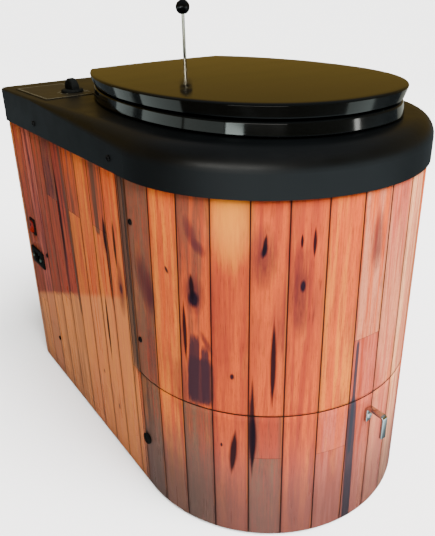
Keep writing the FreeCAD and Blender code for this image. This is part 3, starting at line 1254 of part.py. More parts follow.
def control_box():
    """Closed box of electronics on the base pan."""
    flank = -BODY_R + CONTROL_BOX_FROM_FLANK
    front = BLOWER_Y + BLOWER_LENGTH + STAND_FOOT + CONTROL_BOX_BEHIND_STAND
    height = (BASE_WALL, BASE_WALL + CONTROL_BOX_HEIGHT)
    solid = block((flank, flank + CONTROL_BOX_WIDTH), (front, REAR_INNER - CONTROL_BOX_REAR_GAP), height)
    upright = [e for e in solid.Edges if e.BoundBox.ZLength > CONTROL_BOX_HEIGHT / 2]
    return {"control_box": solid.makeFillet(CONTROL_BOX_ROUND, upright)}


def build():
    """Every piece of the toilet, by name."""
    nodes = {}
    makers = [
        casing, casing_screws, frame, top_cover, seat_and_lid, seat_hinge, bowl, burn_chamber,
        trap, lever, exhaust, ash_drawer, timer, power_switch, mains_inlet, control_box,
    ]
    for maker in makers:
        nodes.update(maker())
    return nodes


NODES = build()

os.makedirs("parts", exist_ok=True)
for node_name, node_shape in NODES.items():
    node_shape.exportStep(os.path.join("parts", node_name + ".step"))
    solids = len(node_shape.Solids)
    print(f"{node_name}: {solids} solids, {node_shape.Volume / 1000:.1f} cm3, valid {node_shape.isValid()}")
print(f"{len(NODES)} nodes")
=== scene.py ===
"""Dresses the incinerating toilet: printed casing, top cover, seat, lid, lever, controls and drawer."""
import logging
import math
from dataclasses import dataclass, field
from enum import Enum
from typing import Sequence

import bmesh
import bpy
import numpy as np
from mathutils import Matrix, Vector


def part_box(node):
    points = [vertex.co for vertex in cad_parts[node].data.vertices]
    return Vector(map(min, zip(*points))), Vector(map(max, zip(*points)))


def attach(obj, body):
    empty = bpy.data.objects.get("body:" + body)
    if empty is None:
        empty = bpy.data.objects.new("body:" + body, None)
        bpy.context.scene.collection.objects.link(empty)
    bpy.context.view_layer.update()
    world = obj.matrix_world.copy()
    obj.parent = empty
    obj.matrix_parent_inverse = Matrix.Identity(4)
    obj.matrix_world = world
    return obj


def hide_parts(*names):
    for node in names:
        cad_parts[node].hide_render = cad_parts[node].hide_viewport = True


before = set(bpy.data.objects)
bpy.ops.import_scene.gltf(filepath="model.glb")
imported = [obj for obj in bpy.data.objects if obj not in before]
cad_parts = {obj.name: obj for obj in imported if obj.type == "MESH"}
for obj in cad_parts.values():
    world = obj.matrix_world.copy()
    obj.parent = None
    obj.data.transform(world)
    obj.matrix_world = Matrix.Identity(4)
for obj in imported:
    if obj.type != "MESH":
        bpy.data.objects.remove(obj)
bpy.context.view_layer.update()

LOG = logging.getLogger("toilet")
Array = np.ndarray
Colour = tuple[float, float, float, float]
Socket = bpy.types.NodeSocket
Ring = tuple[float, float, float, float]
Bounds = tuple[float, float, float, float]
Pair = tuple[float, float]
Triple = tuple[float, float, float]
Places = tuple[Pair, ...]

# Metres in a millimetre.
MM = 0.001
# Distances in metres under which two points, or the ends of an edge, count as one.
WELD = 1e-6
SLIVER = 1e-7
UP = (0.0, 0.0, 1.0)


class Body(str, Enum):
    """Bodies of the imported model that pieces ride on."""

    CASING = "casing"
    SEAT = "seat"
    LID = "lid"
    LEVER = "lever"
    DRAWER = "drawer"
    RIGHT_THUMB = "right_thumbscrew"
    LEFT_THUMB = "left_thumbscrew"
    TIMER = "timer"
    ROCKER = "rocker"


class Slot(str, Enum):
    """Material slots of the record that new pieces take."""

    PANEL = "wood_grain_panel"
    SEAT = "seat_black"
    CONTROL = "control_black"
    ROCKER = "rocker_red"
    PLATE = "plate_grey"
    STAINLESS = "stainless"
    ROD = "bright_rod"
    SCREW = "screw_black"


def scaled(colour: Colour, factor: float) -> Colour:
    """A colour times a factor, with no channel over 1."""
    red, green, blue = (min(1.0, c * factor) for c in colour[:3])
    return red, green, blue, 1.0


class Tone(Enum):
    """Wood tones of the printed boards, with one tone of painted light and one of a painted dark
    reflection.
    """

    GOLD = (0.38, 0.102, 0.013, 1.0)
    ORANGE = (0.32, 0.052, 0.012, 1.0)
    RED = (0.2, 0.027, 0.012, 1.0)
    BROWN = (0.105, 0.032, 0.018, 1.0)
    ROSE = (0.29, 0.064, 0.038, 1.0)
    PALE = (0.34, 0.115, 0.06, 1.0)
    # Pale cream that paints the light falling on the right of the front.
    PAINTED_LIGHT_CREAM = (0.46, 0.22, 0.11, 1.0)
    OLIVE = (0.085, 0.047, 0.028, 1.0)
    PLUM = (0.042, 0.013, 0.016, 1.0)
    UMBER = (0.024, 0.007, 0.006, 1.0)
    # Slate tone that paints a dark reflection low on the front's left side.
    PAINTED_REFLECTION = (0.03, 0.018, 0.012, 1.0)


class Shade:
    """Builds the node tree of one material round a Principled surface."""

    def __init__(self, name: str) -> None:
        """Starts an empty material with a surface and an output.

        Args:
            name: the material's name.
        """
        self.material = bpy.data.materials.new(name)
        self.material.use_nodes = True
        self.tree = self.material.node_tree
        self.tree.nodes.clear()
        self.surface = self.add("ShaderNodeBsdfPrincipled")
        output = self.add("ShaderNodeOutputMaterial")
        self.tree.links.new(self.surface.outputs[0], output.inputs[0])

    def add(self, kind: str, **settings: object) -> bpy.types.Node:
        """Adds a node.

        Args:
            kind: the node's type.
            settings: its properties.

        Returns:
            The node.
        """
        node = self.tree.nodes.new(kind)
        for key, value in settings.items():
            setattr(node, key, value)
        return node

    def feed(self, target: Socket, value: object) -> None:
        """Links a socket, or sets a constant on it.

        Args:
            target: the socket.
            value: another socket or a constant.
        """
        if isinstance(value, bpy.types.NodeSocket):
            self.tree.links.new(value, target)
        else:
            target.default_value = value

    def set(self, **values: object) -> None:
        """Sets or links inputs of the surface, named with underscores for spaces."""
        for key, value in values.items():
            self.feed(self.surface.inputs[key.replace("_", " ")], value)

    def math(self, operation: str, first: object, second: object = 0.0, clamp: bool = False) -> Socket:
        """Adds one sum.

        Args:
            operation: the kind of sum.
            first, second: its values.
            clamp: whether the result is kept between 0 and 1.

        Returns:
            The result.
        """
        node = self.add("ShaderNodeMath", operation=operation, use_clamp=clamp)
        self.feed(node.inputs[0], first)
        self.feed(node.inputs[1], second)
        return node.outputs[0]

    def rise(self, value: Socket, low: float, high: float, bottom: float = 0.0, top: float = 1.0) -> Socket:
        """Adds a smooth step.

        Args:
            value: what is stepped.
            low, high: where the step starts and ends.
            bottom, top: the results there.

        Returns:
            The stepped value.
        """
        node = self.add("ShaderNodeMapRange", interpolation_type="SMOOTHSTEP")
        for socket, given in zip(node.inputs, (value, low, high, bottom, top)):
            self.feed(socket, given)
        return node.outputs[0]

    def mix(self, share: object, first: object, second: object, blend: str = "MIX") -> Socket:
        """Adds a mix of two colours.

        Args:
            share: how much of the second colour is taken.
            first, second: the colours.
            blend: the way of mixing.

        Returns:
            The mixed colour.
        """
        node = self.add("ShaderNodeMix", data_type="RGBA", blend_type=blend)
        for number, given in ((0, share), (6, first), (7, second)):
            self.feed(node.inputs[number], given)
        return node.outputs[2]

    def stretched(self, vector: Socket, scale: Triple) -> Socket:
        """Scales a vector on each axis.

        Args:
            vector: the vector.
            scale: factors on the three axes.

        Returns:
            The scaled vector.
        """
        node = self.add("ShaderNodeMapping")
        self.feed(node.inputs["Scale"], scale)
        self.feed(node.inputs["Vector"], vector)
        return node.outputs[0]

    def noise(self, vector: Socket, scale: float, detail: float = 3.0, roughness: float = 0.5) -> Socket:
        """Adds noise.

        Args:
            vector: where it is read.
            scale: how fine it is.
            detail, roughness: how many finer layers it has, and how strong they are.

        Returns:
            The noise's value.
        """
        node = self.add("ShaderNodeTexNoise")
        given = {"Vector": vector, "Scale": scale, "Detail": detail, "Roughness": roughness}
        for name, value in given.items():
            self.feed(node.inputs[name], value)
        return node.outputs["Fac"]

    def place(self) -> Socket:
        """Object coordinates, which are the model's own metres."""
        return self.add("ShaderNodeTexCoord").outputs["Object"]

    def split(self, vector: Socket) -> Sequence[Socket]:
        """Takes a vector apart.

        Args:
            vector: the vector.

        Returns:
            Its three values.
        """
        node = self.add("ShaderNodeSeparateXYZ")
        self.feed(node.inputs[0], vector)
        return node.outputs

    def bump(self, height: Socket, strength: float, distance: float) -> None:
        """Gives the surface a relief.

        Args:
            height: the relief's height value.
            strength: how much of it shows.
            distance: metres for a height of 1.
        """
        node = self.add("ShaderNodeBump")
        for name, value in {"Strength": strength, "Distance": distance, "Height": height}.items():
            self.feed(node.inputs[name], value)
        self.set(Normal=node.outputs[0])


@dataclass(frozen=True)
class Surroundings:
    """What the gloss mirrors beyond the lamps, and what shows behind the floor."""

    overhead: Colour = (0.5, 0.51, 0.52, 1.0)
    horizon: Colour = (0.33, 0.215, 0.045, 1.0)
    ground: Colour = (2.5, 3.0, 3.2, 1.0)
    bright_side: Triple = (-0.35, -0.94, 0.0)
    dim: float = 0.09
    backdrop: Colour = (3.1, 3.08, 3.0, 1.0)
    side_fade: Pair = (-0.1, 0.85)
    overhead_fade: Pair = (0.45, 0.8)
    horizon_half: float = 0.03


class Room(Shade):
    """Builds the node tree of the surroundings."""

    def __init__(self) -> None:
        """Starts a world with a plain background."""
        world = bpy.data.worlds.new("studio")
        bpy.context.scene.world = world
        world.use_nodes = True
        self.tree = world.node_tree
        self.surface = self.tree.nodes["Background"]

    def dress(self, around: Surroundings) -> None:
        """Sets a colour overhead, one at the horizon and a ground that fades away from its bright side.

        Each fade is a smooth rise of the direction's height, or of its dot product with the bright side.

        Args:
            around: the colours and where they fade.
        """
        direction = self.add("ShaderNodeTexCoord").outputs["Generated"]
        height = self.split(direction)[2]
        towards = self.add("ShaderNodeVectorMath", operation="DOT_PRODUCT")
        self.feed(towards.inputs[0], direction)
        self.feed(towards.inputs[1], around.bright_side)
        bright = self.rise(towards.outputs["Value"], *around.side_fade)
        ground = self.mix(bright, scaled(around.ground, around.dim), around.ground)
        sky = self.mix(self.rise(height, *around.overhead_fade), around.horizon, around.overhead)
        room = self.mix(self.rise(height, -around.horizon_half, around.horizon_half), ground, sky)
        seen = self.add("ShaderNodeLightPath").outputs["Is Camera Ray"]
        self.set(Color=self.mix(seen, room, around.backdrop))


@dataclass(frozen=True)
class Finish:
    """One finish: a base colour, a roughness and whatever a subclass adds."""

    name: str
    colour: Colour
    roughness: float = 0.4

    def material(self) -> bpy.types.Material:
        """The finish's material, made on first use."""
        made = bpy.data.materials.get(self.label())
        return made if made else self.make()

    def label(self) -> str:
        """Name of the material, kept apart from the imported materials' names."""
        return f"look_{self.name}"

    def make(self) -> bpy.types.Material:
        """Builds the material.

        Returns:
            The material, dressed by the finish.
        """
        shade = Shade(self.label())
        self.dress(shade)
        return shade.material

    def dress(self, shade: Shade) -> None:
        """Sets the surface."""
        shade.set(Base_Color=self.colour, Roughness=self.roughness)

    def vary(self, shade: Shade, value: Socket, bounds: Pair, spread: Pair) -> None:
        """Lets the roughness go with a value between bounds, by a spread about the finish's own."""
        low, high = (self.roughness + step for step in spread)
        shade.set(Roughness=shade.rise(value, *bounds, low, high))


@dataclass(frozen=True)
class GlossMoulding(Finish):
    """Polished moulding with faint wipe marks, whose upright sides may mirror as if they leaned up."""

    shine: float = 0.06
    lean: float = 0.0
    wipes: Triple = (9.0, 30.0, 9.0)
    spread: Pair = (0.0, 0.08)

    def dress(self, shade: Shade) -> None:
        """Roughness from slow noise, and a relief that sinks with height where the sides lean.

        Args:
            shade: the material's tree.
        """
        point = shade.place()
        wipe = shade.noise(shade.stretched(point, self.wipes), 1.0, 4.0)
        if self.lean:
            shade.bump(shade.math("MULTIPLY", shade.split(point)[2], -1.0), 1.0, self.lean)
        shade.set(Base_Color=self.colour, Specular_IOR_Level=self.shine)
        self.vary(shade, wipe, (0.3, 0.75), self.spread)


@dataclass(frozen=True)
class SatinMoulding(Finish):
    """Satin moulding with a fine grained skin."""

    grain: float = 1400.0
    shine: float = 0.3
    cloud: float = 14.0
    paler: float = 1.35
    spread: Pair = (-0.04, 0.06)
    relief: Pair = (0.12, 0.0002)

    def dress(self, shade: Shade) -> None:
        """Fine grain in the relief and slow change in colour and roughness.

        Args:
            shade: the material's tree.
        """
        point = shade.place()
        skin = shade.noise(point, self.grain, 2.0)
        cloud = shade.noise(point, self.cloud, 4.0)
        colour = shade.mix(shade.rise(cloud, 0.35, 0.7), self.colour, scaled(self.colour, self.paler))
        shade.set(Base_Color=colour, Specular_IOR_Level=self.shine)
        self.vary(shade, cloud, (0.3, 0.7), self.spread)
        shade.bump(skin, *self.relief)


@dataclass(frozen=True)
class BrushedMetal(Finish):
    """Metal with fine brush lines along one axis."""

    along: Triple = (1500.0, 1500.0, 20.0)
    cloud: float = 25.0
    darker: float = 0.82
    spread: Pair = (-0.05, 0.08)
    relief: Pair = (0.06, 0.0002)

    def dress(self, shade: Shade) -> None:
        """Stretched noise in colour, roughness and relief.

        Args:
            shade: the material's tree.
        """
        point = shade.place()
        lines = shade.noise(shade.stretched(point, self.along), 1.0, 3.0)
        cloud = shade.noise(point, self.cloud, 3.0)
        colour = shade.mix(shade.rise(lines, 0.35, 0.65), scaled(self.colour, self.darker), self.colour)
        shade.set(Base_Color=colour, Metallic=1.0)
        self.vary(shade, cloud, (0.3, 0.7), self.spread)
        shade.bump(lines, *self.relief)


@dataclass(frozen=True)
class SpangledZinc(Finish):
    """Galvanised sheet with its crystal flakes."""

    flakes: float = 90.0
    darker: float = 0.72
    spread: Pair = (-0.1, 0.1)

    def dress(self, shade: Shade) -> None:
        """Cells of different greys, with different roughness.

        Args:
            shade: the material's tree.
        """
        flakes = shade.add("ShaderNodeTexVoronoi")
        shade.feed(flakes.inputs["Scale"], self.flakes)
        shade.feed(flakes.inputs["Vector"], shade.place())
        grey = shade.add("ShaderNodeSeparateColor")
        shade.feed(grey.inputs[0], flakes.outputs["Color"])
        colour = shade.mix(grey.outputs[0], scaled(self.colour, self.darker), self.colour)
        shade.set(Base_Color=colour, Metallic=1.0)
        self.vary(shade, grey.outputs[1], (0.0, 1.0), self.spread)


@dataclass(frozen=True)
class MattFibre(Finish):
    """Soft mineral or rubber body with a mottled skin."""

    grain: float = 300.0
    darker: float = 0.7
    relief: Pair = (0.25, 0.0006)

    def dress(self, shade: Shade) -> None:
        """Mottled colour with a soft relief.

        Args:
            shade: the material's tree.
        """
        mottle = shade.noise(shade.place(), self.grain, 5.0)
        colour = shade.mix(shade.rise(mottle, 0.3, 0.7), scaled(self.colour, self.darker), self.colour)
        shade.set(Base_Color=colour, Roughness=self.roughness)
        shade.bump(mottle, *self.relief)


@dataclass(frozen=True)
class PaleFloor(Finish):
    """Plain matt floor with a faint slow cloud."""

    cloud: float = 0.8
    darker: float = 0.97

    def dress(self, shade: Shade) -> None:
        """Slow noise in the colour only.

        Args:
            shade: the material's tree.
        """
        cloud = shade.noise(shade.place(), self.cloud, 2.0)
        colour = shade.mix(cloud, scaled(self.colour, self.darker), self.colour)
        shade.set(Base_Color=colour, Roughness=self.roughness, Specular_IOR_Level=0.0)


@dataclass(frozen=True)
class Ink:
    """How one kind of mark is drawn, with the powers of its form to the sides and to the ends."""

    colour: Colour
    side: float
    end: float
    softness: float
    strength: float
    ragged: float


class MarkKind(Enum):
    """Kinds of marks in the printed wood; the painted glow, shade and reflection paint light instead of
    wood.
    """

    KNOT = Ink((0.004, 0.003, 0.007, 1.0), 2.0, 2.0, 0.6, 0.95, 0.9)
    HALO = Ink((0.04, 0.009, 0.012, 1.0), 2.0, 2.0, 0.95, 0.75, 1.4)
    CHECK = Ink((0.004, 0.002, 0.004, 1.0), 1.0, 2.0, 0.35, 0.95, 0.3)
    # Bright gold ink that paints a glow of light.
    GLOW = Ink((0.42, 0.15, 0.014, 1.0), 2.0, 2.0, 0.95, 0.75, 1.2)
    STAIN = Ink((0.024, 0.01, 0.014, 1.0), 6.0, 6.0, 0.6, 0.92, 1.6)
    STRIP = Ink((0.042, 0.023, 0.016, 1.0), 6.0, 10.0, 0.35, 0.85, 0.6)
    # Slate ink that paints a dark reflection on the gloss.
    PAINTED_REFLECTION = Ink((0.015, 0.017, 0.023, 1.0), 4.0, 10.0, 0.35, 0.92, 0.5)
    # Soft grey-brown ink that paints shade.
    PAINTED_SHADE = Ink((0.05, 0.035, 0.029, 1.0), 2.0, 2.0, 0.95, 0.75, 1.2)
    LINE = Ink((0.008, 0.004, 0.003, 1.0), 2.0, 10.0, 0.5, 0.9, 0.3)


@dataclass(frozen=True)
class Mark:
    """One knot, check, stain or patch of painted light, shade or reflection on the print, in millimetres of
    arc length and height.
    """

    kind: MarkKind
    across: float
    height: float
    half_width: float
    half_length: float
    lean: float = 0.0


@dataclass(frozen=True)
class Board:
    """One printed board: its top end, its main tone and the tone of its streaks."""

    top: float
    tone: Tone
    streak: Tone


@dataclass(frozen=True)
class Plank:
    """One line of boards between two joints, from the bottom board up."""

    left: float
    right: float
    boards: tuple[Board, ...]


# Ends of the print in millimetres: a height behind the top cover, and an arc length past the rear edges.
TOP = 520.0
END = 800.0


def planks() -> list[Plank]:
    """Lays out the printed planks round the casing, by arc length from the middle of the front.

    Returns:
        The planks from the rear of the left flank to the rear of the right flank.
    """
    t = Tone
    rows: list[tuple[float, tuple[Board, ...]]] = [
        (-END, (Board(TOP, t.BROWN, t.GOLD),)),
        (-727.0, (Board(140.0, t.BROWN, t.GOLD), Board(TOP, t.RED, t.BROWN))),
        (-685.0, (Board(TOP, t.PLUM, t.ROSE),)),
        (-642.0, (Board(185.0, t.GOLD, t.BROWN), Board(TOP, t.BROWN, t.RED))),
        (-600.0, (Board(200.0, t.GOLD, t.BROWN), Board(372.0, t.RED, t.BROWN),
                  Board(TOP, t.PLUM, t.BROWN))),
        (-557.0, (Board(220.0, t.GOLD, t.BROWN), Board(TOP, t.RED, t.PLUM))),
        (-514.0, (Board(370.0, t.ORANGE, t.GOLD), Board(TOP, t.ORANGE, t.BROWN))),
        (-472.0, (Board(TOP, t.ORANGE, t.GOLD),)),
        (-429.5, (Board(374.0, t.ORANGE, t.GOLD), Board(TOP, t.ORANGE, t.BROWN))),
        (-387.0, (Board(TOP, t.ORANGE, t.GOLD),)),
        (-345.0, (Board(197.0, t.ORANGE, t.GOLD), Board(TOP, t.BROWN, t.OLIVE))),
        # The lower board's olive and slate tones paint a dark reflection.
        (-323.0, (Board(197.0, t.OLIVE, t.PAINTED_REFLECTION), Board(TOP, t.OLIVE, t.BROWN))),
        (-280.0, (Board(TOP, t.ORANGE, t.GOLD),)),
        (-239.5, (Board(197.0, t.BROWN, t.OLIVE), Board(TOP, t.ORANGE, t.BROWN))),
        (-198.5, (Board(197.0, t.RED, t.ORANGE), Board(TOP, t.ORANGE, t.RED))),
        (-154.5, (Board(132.0, t.BROWN, t.OLIVE), Board(197.0, t.RED, t.BROWN),
                  Board(TOP, t.RED, t.ORANGE))),
        (-113.0, (Board(TOP, t.RED, t.ORANGE),)),
        (-71.0, (Board(132.0, t.ROSE, t.RED), Board(197.0, t.ROSE, t.ORANGE),
                 Board(TOP, t.ORANGE, t.GOLD))),
        (-28.5, (Board(285.0, t.ROSE, t.RED), Board(TOP, t.PALE, t.ORANGE))),
        (12.0, (Board(197.0, t.ROSE, t.PALE), Board(TOP, t.PALE, t.ROSE))),
        # This plank's cream tone is painted light.
        (53.0, (Board(TOP, t.PAINTED_LIGHT_CREAM, t.PALE),)),
        (94.0, (Board(240.0, t.ORANGE, t.RED), Board(TOP, t.ORANGE, t.GOLD))),
        (136.0, (Board(TOP, t.RED, t.BROWN),)),
        (178.0, (Board(330.0, t.GOLD, t.ORANGE), Board(TOP, t.ORANGE, t.BROWN))),
        (220.0, (Board(TOP, t.ORANGE, t.RED),)),
        (262.0, (Board(197.0, t.BROWN, t.RED), Board(TOP, t.ORANGE, t.GOLD))),
        (304.0, (Board(TOP, t.BROWN, t.ORANGE),)),
        (345.0, (Board(TOP, t.ORANGE, t.GOLD),)),
        (387.0, (Board(300.0, t.RED, t.ORANGE), Board(TOP, t.ORANGE, t.BROWN))),
        (429.5, (Board(TOP, t.GOLD, t.BROWN),)),
        (472.0, (Board(160.0, t.ORANGE, t.GOLD), Board(TOP, t.RED, t.PLUM))),
        (514.0, (Board(TOP, t.ORANGE, t.RED),)),
        (557.0, (Board(352.0, t.ROSE, t.RED), Board(TOP, t.PLUM, t.BROWN))),
        (600.0, (Board(TOP, t.ORANGE, t.GOLD),)),
        (642.0, (Board(214.0, t.GOLD, t.BROWN), Board(TOP, t.RED, t.BROWN))),
        (685.0, (Board(TOP, t.BROWN, t.GOLD),)),
        (727.0, (Board(TOP, t.ORANGE, t.BROWN),)),
    ]
    edges = [row[0] for row in rows] + [END]
    return [Plank(edges[i], edges[i + 1], row[1]) for i, row in enumerate(rows)]


@dataclass(frozen=True)
class Cell:
    """One board's bounds on the print, with its two tones."""

    left: float
    right: float
    low: float
    high: float
    tone: Tone
    streak: Tone


def cells() -> list[Cell]:
    """Finds the bounds of every board.

    Returns:
        The boards of each plank in order, from the bottom up.
    """
    return [Cell(plank.left, plank.right, low, board.top, board.tone, board.streak)
            for plank in planks()
            for low, board in zip((0.0, *(b.top for b in plank.boards)), plank.boards)]


def marks() -> list[Mark]:
    """Knots, checks and stains of the print, and patches of painted light, shade and reflection.

    Returns:
        The marks in the order in which they are laid over each other.
    """
    k = MarkKind
    return [
        # Painted glow of light at the top of a board.
        Mark(k.GLOW, -176.0, 455.0, 20.0, 55.0),
        Mark(k.STAIN, -213.5, 234.0, 17.0, 33.0),
        Mark(k.STAIN, -222.0, 250.0, 7.0, 46.0, 0.05),
        Mark(k.STAIN, -207.0, 244.0, 5.0, 40.0),
        Mark(k.HALO, -222.0, 424.0, 6.0, 15.0, -0.3),
        Mark(k.HALO, -213.0, 408.0, 7.0, 8.0, -0.5),
        Mark(k.HALO, -296.0, 344.0, 14.0, 34.0, -0.25),
        Mark(k.HALO, -286.0, 330.0, 6.0, 22.0),
        Mark(k.HALO, -6.0, 404.0, 8.0, 30.0),
        Mark(k.HALO, -140.0, 402.0, 12.0, 30.0),
        Mark(k.HALO, -220.0, 350.0, 12.0, 20.0),
        Mark(k.HALO, -100.0, 362.0, 10.0, 46.0),
        Mark(k.STRIP, -332.0, 400.0, 8.0, 205.0),
        # Painted shade over the foot of the front's left side.
        Mark(k.PAINTED_SHADE, -255.0, 15.0, 75.0, 105.0),
        Mark(k.LINE, -340.5, 400.0, 1.2, 230.0),
        Mark(k.LINE, -324.0, 300.0, 1.4, 320.0),
        # Painted dark reflections on the front, left of the pull.
        Mark(k.PAINTED_REFLECTION, -22.0, 200.0, 2.4, 84.0),
        Mark(k.PAINTED_REFLECTION, -20.0, 80.0, 6.5, 122.0, -0.02),
        Mark(k.KNOT, -220.0, 344.0, 7.0, 10.0),
        Mark(k.CHECK, -222.0, 358.0, 3.4, 17.0, -0.06),
        Mark(k.KNOT, -139.5, 410.0, 3.2, 7.5, 0.2),
        Mark(k.CHECK, -139.0, 416.0, 2.2, 13.0, 0.1),
        Mark(k.KNOT, -97.0, 368.0, 3.0, 7.0),
        Mark(k.KNOT, -256.0, 372.0, 2.2, 4.0, -0.4),
        Mark(k.HALO, -205.0, 290.0, 3.6, 12.0, -0.5),
        Mark(k.KNOT, -174.0, 250.0, 2.4, 4.0),
        Mark(k.KNOT, -188.0, 146.0, 1.6, 3.0),
        Mark(k.KNOT, -450.0, 125.0, 2.0, 3.6),
        Mark(k.KNOT, -407.0, 85.0, 2.0, 5.0),
        Mark(k.KNOT, -700.0, 286.0, 1.8, 3.0),
        Mark(k.KNOT, -359.0, 306.0, 3.4, 7.0),
        Mark(k.CHECK, -233.0, 298.0, 2.8, 40.0, -0.02),
        Mark(k.CHECK, -127.0, 270.0, 3.4, 56.0),
        Mark(k.CHECK, -150.0, 176.0, 3.6, 72.0),
        Mark(k.CHECK, -149.0, 162.0, 4.6, 38.0),
        Mark(k.CHECK, -173.0, 137.0, 4.6, 34.0, 0.08),
        Mark(k.CHECK, -86.0, 418.0, 2.0, 17.0),
        Mark(k.CHECK, -100.0, 420.0, 1.5, 8.0),
        Mark(k.CHECK, -366.0, 366.0, 3.6, 34.0),
        Mark(k.HALO, -359.0, 306.0, 9.0, 34.0),
        Mark(k.CHECK, -389.0, 330.0, 5.0, 66.0),
        Mark(k.CHECK, -394.0, 370.0, 5.0, 26.0),
        Mark(k.CHECK, -415.0, 222.0, 3.2, 56.0),
        Mark(k.STRIP, -520.0, 330.0, 4.5, 135.0, -0.03),
        Mark(k.CHECK, -553.0, 350.0, 4.6, 76.0),
        Mark(k.STRIP, -414.0, 425.0, 7.0, 60.0),
        Mark(k.HALO, 120.0, 330.0, 12.0, 34.0),
        Mark(k.KNOT, 120.0, 322.0, 5.0, 9.0),
        Mark(k.CHECK, 200.0, 260.0, 3.4, 52.0),
        Mark(k.KNOT, 282.0, 150.0, 4.4, 8.0),
        Mark(k.CHECK, 366.0, 330.0, 3.2, 44.0),
        Mark(k.HALO, 450.0, 250.0, 14.0, 36.0),
        Mark(k.KNOT, 450.0, 246.0, 5.0, 10.0),
        Mark(k.CHECK, 580.0, 190.0, 3.6, 60.0),
        Mark(k.KNOT, 664.0, 340.0, 4.0, 8.0),
    ]


class MarkForm(Shade):
    """Builds the node group that draws one mark of the print."""

    GIVEN = ("Across", "Height", "Ragged", "Centre", "Middle", "Half Width", "Half Length", "Lean",
             "Side", "End", "Softness", "Raggedness")

    def __init__(self) -> None:
        """Starts a group with its given values and its one result."""
        self.tree = bpy.data.node_groups.new("print_mark", "ShaderNodeTree")
        for name in self.GIVEN:
            self.tree.interface.new_socket(name=name, in_out="INPUT", socket_type="NodeSocketFloat")
        self.tree.interface.new_socket(name="Share", in_out="OUTPUT", socket_type="NodeSocketFloat")

    def group(self) -> bpy.types.NodeTree:
        """Draws |across / half width| ^ side + |height / half length| ^ end, with ragged and soft edges.

        Returns:
            The group, whose result is 1 inside the mark and 0 outside.
        """
        given = self.add("NodeGroupInput").outputs
        up = self.math("SUBTRACT", given["Height"], given["Middle"])
        leaned = self.math("MULTIPLY", up, given["Lean"])
        side = self.math("SUBTRACT", self.math("SUBTRACT", given["Across"], given["Centre"]), leaned)
        side = self.math("ABSOLUTE", self.math("DIVIDE", side, given["Half Width"]))
        end = self.math("ABSOLUTE", self.math("DIVIDE", up, given["Half Length"]))
        side = self.math("POWER", side, given["Side"])
        end = self.math("POWER", end, given["End"])
        ragged = self.math("MULTIPLY", given["Ragged"], given["Raggedness"])
        reach = self.math("ADD", self.math("ADD", side, end), ragged)
        low = self.math("SUBTRACT", 1.0, given["Softness"])
        spread = self.math("MULTIPLY", given["Softness"], 2.0)
        outside = self.math("DIVIDE", self.math("SUBTRACT", reach, low), spread)
        share = self.math("SUBTRACT", 1.0, outside, clamp=True)
        self.feed(self.add("NodeGroupOutput").inputs[0], share)
        return self.tree


class Grain(Enum):
    """Noises of the wood: how fine across and along the board, detail and roughness."""

    FINE = (1100.0, 50.0, 4.0, 0.6)
    SPECK = (620.0, 240.0, 3.0, 0.6)
    VEIN = (300.0, 11.0, 4.0, 0.6)
    MEDIUM = (120.0, 5.0, 4.0, 0.55)
    BROAD = (36.0, 7.0, 3.0, 0.5)


@dataclass(frozen=True)
class Wash:
    """A tone that grows up to a share where a grain's value goes from one bound to the other."""

    grain: Grain
    start: float
    stop: float
    share: float
    tone: Tone


WASHES = (
    Wash(Grain.BROAD, 0.54, 0.74, 0.45, Tone.PLUM),
    Wash(Grain.BROAD, 0.42, 0.24, 0.45, Tone.GOLD),
    Wash(Grain.VEIN, 0.48, 0.66, 0.6, Tone.RED),
    Wash(Grain.VEIN, 0.42, 0.28, 0.35, Tone.GOLD),
    Wash(Grain.FINE, 0.5, 0.72, 0.5, Tone.UMBER),
    Wash(Grain.SPECK, 0.5, 0.66, 0.28, Tone.RED),
)


